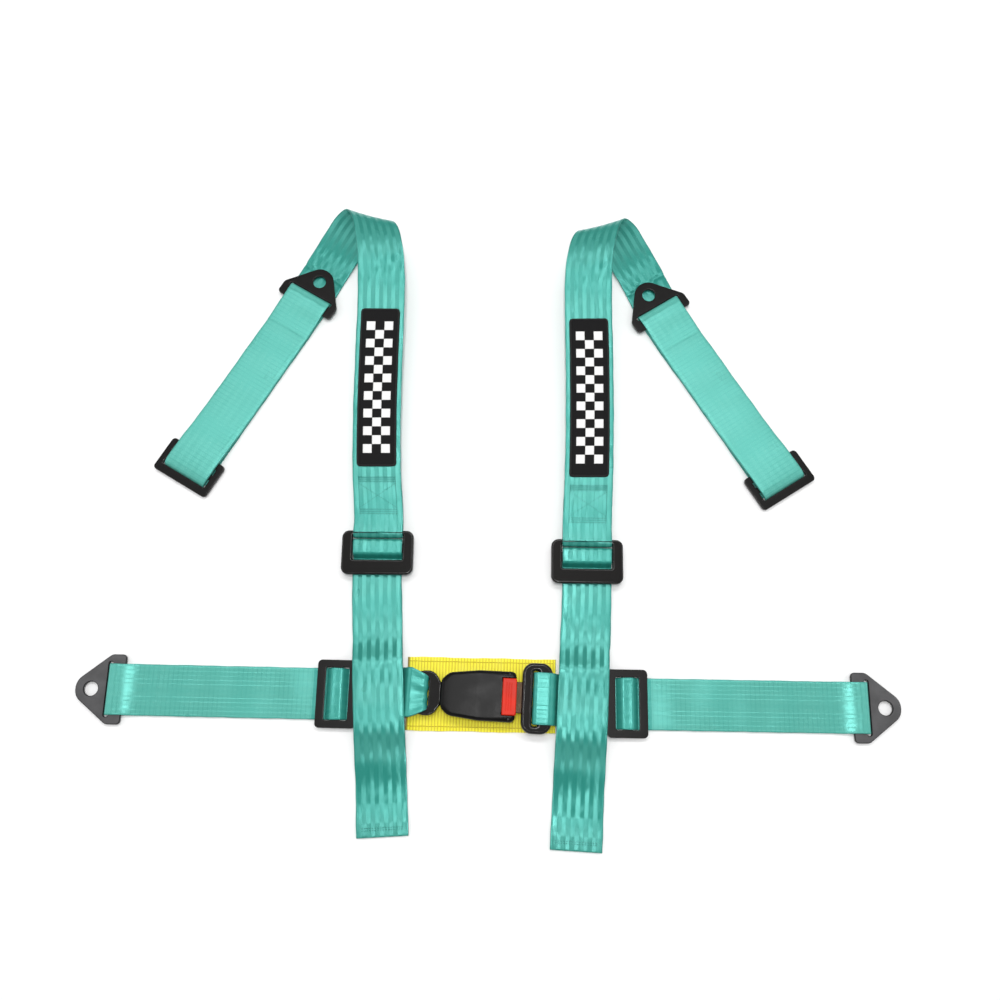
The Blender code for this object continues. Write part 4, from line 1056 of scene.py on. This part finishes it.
# ---- buckle ----
COVER_OUTLINE = mirrored([
    (-0.0365, -0.0135, 0.007), (-0.0290, -0.0205, 0.012), (0.0000, -0.0240, 0.040), (0.0365, -0.0242, 0.005),
])
WALL = 0.0018
COVER_LOW, COVER_SPLIT, COVER_TOP = 0.0038, 0.0123, 0.0232
ROOF = COVER_TOP - WALL
TONGUE_Z, TONGUE_T = 0.0121, 0.0025
MOUTH_X, MOUTH_HALF = 0.0226, 0.0184
RIB_Z = 0.0166
SCREW_X, SCREW_Y = 0.0300, 0.0213
EYE_X, EYE_LOW, EYE_HIGH = -0.0665, 0.0072, 0.0134


def block(x_from, x_to, half_wide, z_from, z_to, matrix):
    corners = rectangle(x_to - x_from, 2 * half_wide, 0.0003, ((x_from + x_to) / 2, 0))
    return tool_block(corners, z_from, z_to, matrix)


def screw_holes(radius, z_from, z_to, matrix):
    return [tool_block(circle(radius, SCREW_X, y), z_from, z_to, matrix) for y in (-SCREW_Y, SCREW_Y)]


def spring(name, node, matrix, reach, y, z, radius):
    """A coil spring between the buckle and the part that it pushes."""
    x_from, x_to = reach
    wire, turns, sides = 0.0003, 6, 8
    share = np.linspace(0.0, 1.0, turns * 20 + 1)[:, None, None]
    lean = np.linspace(0.0, 2 * math.pi, sides, endpoint=False)[None, :, None]
    turn = 2 * math.pi * turns * share
    out = radius + wire * np.cos(lean)
    along = x_from + wire + (x_to - x_from - 2 * wire) * share + wire * np.sin(lean)
    rings = np.concatenate([along, y + out * np.cos(turn), z + out * np.sin(turn)], axis=2)
    points, faces = swept(rings)
    coil = outward(made(name, [matrix @ Vector(point) for point in points], faces, STEEL))
    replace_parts(coil, node)
    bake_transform(coil)


def buckle_shells(matrix):
    room = [(min(x, MOUTH_X - 0.0011), y, radius) for x, y, radius in shrunk(COVER_OUTLINE, WALL)]
    looks = [BLACK_PLASTIC]
    name = "buckle_shell_lower"
    lower = moulded(name, COVER_OUTLINE, [], COVER_LOW, COVER_SPLIT, 0.0022, looks, matrix, 4, 12)
    lower = carved(lower, [
        tool_block(room, COVER_LOW + WALL, 0.0150, matrix),
        block(MOUTH_X - 0.0020, 0.0400, MOUTH_HALF, TONGUE_Z - 0.0004, 0.0150, matrix),
        block(-0.0400, -0.0300, 0.0105, 0.0061, 0.0150, matrix),
        *screw_holes(0.0024, 0.0010, COVER_LOW + 0.0020, matrix),
    ])
    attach(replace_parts(lower, "buckle_cover_lower"), "root")

    def crown(co):
        flat_z = COVER_SPLIT + 0.0020
        share = max(0.0, (co.z - flat_z) / (COVER_TOP - flat_z))
        droop = 0.0016 * (co.y / 0.024) ** 2 + 0.0022 * max(0.0, (-co.x - 0.010) / 0.0265) ** 2
        return -share * droop

    name, low = "buckle_shell_upper", COVER_SPLIT + GAP
    upper = moulded(name, COVER_OUTLINE, [], low, COVER_TOP, 0.0034, looks, matrix, 6, 12, crown)
    upper = carved(upper, [
        *screw_holes(0.0015, COVER_TOP - 0.0024, 0.0300, matrix),
        tool_block(room, 0.0100, RIB_Z, matrix),
        block(-0.0160, MOUTH_X + 0.0010, MOUTH_HALF, RIB_Z - 0.0010, ROOF, matrix),
        block(MOUTH_X - 0.0020, 0.0400, MOUTH_HALF, 0.0100, RIB_Z, matrix),
        block(MOUTH_X, 0.0400, MOUTH_HALF, 0.0100, 0.0300, matrix),
    ])
    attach(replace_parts(upper, "buckle_cover_upper"), "root")


def release_button(matrix):
    """The red button, dished where a thumb rests, with three raised bars."""

    def dished(co):
        if co.z < 0.0190:
            return 0.0
        return -0.0005 * max(0.0, 1 - ((co.x - 0.0300) / 0.0050) ** 2) * max(0.0, 1 - (co.y / 0.0150) ** 4)

    looks = [RED_PLASTIC]
    outline = mirrored([(0.0232, -0.0179, 0.0004), (0.0372, -0.0179, 0.0020)])
    name = "release_button_cap"
    button = moulded(name, outline, [], 0.0152, ROOF - GAP, 0.0012, looks, matrix, 4, 6, dished)
    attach(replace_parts(button, "release_button"), "release_button")
    for index, x in enumerate((0.0272, 0.0296, 0.0320)):
        name, outline = f"release_button_grip_{index + 1}", rectangle(0.0011, 0.0270, 0.0005, (x, 0))
        bar = moulded(name, outline, [], 0.0195, ROOF + 0.0001, 0.0003, looks, matrix, 2, 4)
        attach(bar, "release_button")


def buckle_eye(matrix):
    outline = mirrored([
        (EYE_X, -0.0150, 0.010), (-0.0560, -0.0216, 0.012), (-0.0440, -0.0216, 0.012),
        (-0.0365, -0.0100, 0.004),
    ])
    window = mirrored([(-0.0600, -0.0165, 0.0008), (-0.0490, -0.0165, 0.006)])
    eye = moulded("buckle_eye_loop", outline, [window], EYE_LOW, EYE_HIGH, 0.0014, RUBBERED, matrix)
    outline = rectangle(0.0230, 0.0200, 0.0008, (-0.0335, 0))
    tang = moulded("buckle_eye_tang", outline, [], 0.0064, 0.0092 - GAP, 0.0003, RUBBERED, matrix, 2)
    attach(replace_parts(eye, "buckle_eye"), "root")
    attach(tang, "root")


def buckle_webbing(matrix):
    """The belt sewn round the buckle's eye, gathered and pleated to its width."""
    loop_end = -0.0503
    ground = HALF_T - BUCKLE_DROP
    junction = LAP["left"]["at"][0] + LAP["left"]["inner"] - BUCKLE_AT[0] + JOIN_GAP

    def gather(x):
        share = min(max((x - junction - 0.008) / (loop_end - junction - 0.008), 0.0), 1.0) ** 2
        return 0.048 + (0.0315 - 0.048) * share

    strap = flat_strap([
        (junction - JOIN_GAP, ground, 0), (junction + 0.0026, ground, 0.0015),
        (junction + 0.0062, 0.0052, 0.0020), (EYE_X - 0.0010, EYE_LOW - CLEAR, 0.003),
        (loop_end, EYE_LOW - CLEAR, 0.0034),
        (loop_end, EYE_HIGH + CLEAR, 0.0040), (EYE_X - 0.0022, EYE_HIGH + CLEAR, 0.005),
        (junction + 0.0014, ground + LAYER, 0.003), (junction - JOIN_GAP, ground + LAYER, 0),
    ], matrix, gather)
    top_v = strap.nearest(matrix @ Vector((loop_end, 0, EYE_HIGH)))

    def pleats(v, s):
        near = np.exp(-((v - top_v - 0.006) / 0.010) ** 2)
        return near * (0.0008 * np.cos(3 * math.pi * s) + 0.0006 * np.cos(1.2 * math.pi * s + 0.5))

    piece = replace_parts(webbing("buckle_webbing", strap, TEAL_TIGHT, pleats, phase=9.0), "buckle_loop")
    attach(piece, "root")


def tongue(matrix):
    """The tongue's blade, its slotted cover and the belt sewn through the slot."""
    from_x, to_x = 0.0423, 0.0720
    cover_low, cover_high = 0.0088, 0.0178
    slot_from, slot_to = 0.0530, 0.0585
    corners = rectangle(to_x - from_x, 0.0680, 0.0110, ((from_x + to_x) / 2, 0))
    slot = rectangle(slot_to - slot_from, 0.0530, 0.0020, ((slot_from + slot_to) / 2, 0))
    cover = moulded("tongue_frame", corners, [slot], cover_low, cover_high, 0.0026, RUBBERED, matrix, 5, 14)
    tongue_top = TONGUE_Z + TONGUE_T
    cover = carved(cover, [block(0.0400, 0.0503, 0.0155, TONGUE_Z - GAP, tongue_top + GAP, matrix)])
    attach(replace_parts(cover, "tongue_cover"), "harness_right")

    plate = mirrored([(0.0000, -0.0140, 0.003), (0.0500, -0.0152, 0.001)])
    window = rectangle(0.0060, 0.0150, 0.0008, (0.0130, 0))
    blade = moulded("tongue_blade", plate, [window], TONGUE_Z, tongue_top, 0.0005, [TONGUE_STEEL], matrix)
    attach(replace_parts(blade, "tongue_plate"), "harness_right")

    ground = HALF_T - BUCKLE_DROP
    junction = LAP["right"]["at"][0] - LAP["right"]["inner"] - BUCKLE_AT[0] - JOIN_GAP
    inner_x = slot_from + CLEAR
    strap = flat_strap([
        (junction + JOIN_GAP, ground, 0), (junction - 0.0036, ground, 0.002), (to_x + 0.0020, 0.0065, 0.003),
        (to_x - 0.0020, cover_low - CLEAR, 0.004), (inner_x, cover_low - CLEAR, 0.0024),
        (inner_x, cover_high + CLEAR, 0.0036), (to_x + 0.0002, cover_high + CLEAR, 0.0060),
        (to_x + 0.0048, 0.0070, 0.004), (junction - 0.0014, ground + LAYER, 0.0030),
        (junction + JOIN_GAP, ground + LAYER, 0),
    ], matrix)

    def pucker(_, s):
        return 0.00012 * np.sin(8 * s)

    piece = webbing("tongue_webbing", strap, TEAL_TIGHT, pucker, phase=10.0)
    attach(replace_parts(piece, "tongue_loop"), "harness_right")


def buckle():
    matrix = placed(*BUCKLE_AT, BUCKLE_TURN, BUCKLE_DROP)
    spring("button_coil", "button_spring", matrix, (-0.0077, 0.0077), 0.0, 0.0200, 0.0009)
    reach = (-0.0300, -0.0130 - GAP)
    spring("ejector_coil", "ejector_spring", matrix, reach, 0.0118, 0.0134, 0.0011)
    buckle_shells(matrix)
    release_button(matrix)
    buckle_eye(matrix)
    buckle_webbing(matrix)
    tongue(matrix)


# ---- belly pad ----
def belly_pad():
    """Ribbed webbing: ribs across its length, sealed left end, folded right end, stitched edges."""
    matrix = placed(*PAD_AT, PAD_TURN)
    half_l, half_w, half_t = PAD_LONG / 2, PAD_WIDE / 2, PAD_T / 2
    xs = np.linspace(-half_l, half_l, 385)
    shares = np.sin(np.linspace(-1, 1, 33) * math.pi / 2)
    lip = np.abs(shares) ** 10
    rise = np.sqrt(np.clip(1 - ((np.abs(xs) - (half_l - half_t)) / half_t).clip(0) ** 2, 0, 1))
    rib = 0.00042 * (0.5 + 0.5 * np.cos(2 * math.pi * (xs + half_l) / PAD_RIB)) - 0.00030
    folded = 0.0006 * smoothstep(xs, half_l - 0.012, half_l - 0.009)
    rings = []
    for x, up, relief, extra in zip(xs, rise, rib, folded):
        edge = half_w + 0.00025 * math.sin(x * 95) + 0.00012 * math.sin(x * 310 + 1)
        top = half_t * 2 * up - lip * half_t * 0.9 + relief * up * (1 - 0.6 * lip) + extra * up
        low = half_t * (1 - up) + lip * half_t * 0.6 + 0.00002
        upper = [(x, edge * s, max(z, half_t * 0.9)) for s, z in zip(shares, top)]
        lower = [(x, edge * s, min(z, half_t * 0.8)) for s, z in zip(shares[::-1], low[::-1])]
        rings.append([matrix @ Vector(point) for point in upper + lower])
    rings = np.array(rings)
    verts, faces = swept(rings)
    v = np.repeat(xs + half_l, rings.shape[1])
    u = np.tile(np.concatenate([shares, shares[::-1]]) * half_w + half_w, len(xs))
    pad = outward(made("belly_pad_webbing", verts, faces, PAD_LOOK, np.stack([u, v], -1)))
    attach(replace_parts(pad, "belly_pad"), "root")

    spans = []
    up = Vector((0, 0, 1))
    for sign in (-1, 1):
        for step in range(int(PAD_LONG / PAD_RIB) - 1):
            x = -half_l + PAD_RIB * (step + 1)
            y = sign * (half_w - 0.0042) + sign * 0.0001 * math.sin(step)
            spans.append((*[matrix @ Vector((x + d, y, PAD_T + 0.0002)) for d in (-0.0012, 0.0012)], up))
    x, seam_half = half_l - 0.0105, half_w - 0.0050
    for y in np.linspace(-seam_half, seam_half, 24):
        spans.append((*[matrix @ Vector((x, y + d, PAD_T + 0.0006)) for d in (-0.0010, 0.0010)], up))
    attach(stitched("belly_pad_stitching", spans, PAD_THREAD, 0.00028), "root")


# ---- the CAD nodes that stay ----
def kept_nodes():
    steel = ("frame", "rivet_front", "rivet_rear", "screw_front", "screw_rear")
    finishes = {f"buckle_{name}": STEEL for name in steel}
    finishes |= {"latch_leaf": STEEL, "ejector": BLACK_PLASTIC}
    finishes |= {f"adjuster_lock_bar_{side}": BLACK_METAL for side in PARENT}
    for name, look in finishes.items():
        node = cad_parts[name]
        node.data.materials.clear()
        node.data.materials.append(look)


# ---- studio ----
def area_light(name, place, size_x, size_y, power):
    """A rectangular lamp that faces the middle of the harness."""
    data = bpy.data.lights.new(name, "AREA")
    data.shape = "RECTANGLE"
    data.size, data.size_y = size_x, size_y
    data.energy = power
    lamp = linked(name, data)
    lamp.location = place
    lamp.rotation_euler = (-Vector(place)).to_track_quat("-Z", "Y").to_euler()


def studio():
    mesh = bpy.data.meshes.new("floor")
    mesh.from_pydata([(x, y, 0) for x, y in ((-6, -6), (6, -6), (6, 6), (-6, 6))], [], [(0, 1, 2, 3)])
    paper = Look("floor_paper", (0.98, 0.98, 0.98), 0.85)
    grain = paper.noise(paper.object_place(), 9.0, 3.0)
    paper.set(base_color=paper.mixed(grain, (0.975, 0.975, 0.975), (0.99, 0.99, 0.99)))
    mesh.materials.append(paper.material)
    floor = linked("floor", mesh)
    floor.location.z = cad_box[0].z - 0.0004

    world = bpy.data.worlds.new("studio")
    world.use_nodes = True
    background = world.node_tree.nodes["Background"]
    background.inputs["Color"].default_value = (1.0, 1.0, 1.0, 1.0)
    background.inputs["Strength"].default_value = 0.43
    bpy.context.scene.world = world
    area_light("key", (0.0, 0.78, 2.05), 1.6, 0.26, 15.0)
    area_light("overhead_strip", (0.0, -0.12, 2.10), 0.11, 0.5, 15.0)
    area_light("fill_left", (-1.60, 0.10, 1.00), 0.55, 1.6, 5.5)
    area_light("fill_right", (1.60, 0.10, 1.00), 0.55, 1.6, 5.5)


def camera():
    data = bpy.data.cameras.new("camera")
    data.lens, data.sensor_width = 34.56, 36.0
    tilt = math.radians(14.5)
    aim_x, aim_y, distance = 0.01268, 0.01339, 1.0
    eye = linked("camera", data)
    eye.location = (aim_x, aim_y - distance * math.sin(tilt), distance * math.cos(tilt))
    eye.rotation_euler = (tilt, 0.0, 0.0)
    bpy.context.scene.camera = eye


camera()
for which in PARENT:
    lap_belt(which)
    rear_strap(which)
    shoulder_strap(which)
    adjuster(which)
buckle()
belly_pad()
kept_nodes()
studio()
bpy.context.scene.view_settings.view_transform = "Standard"
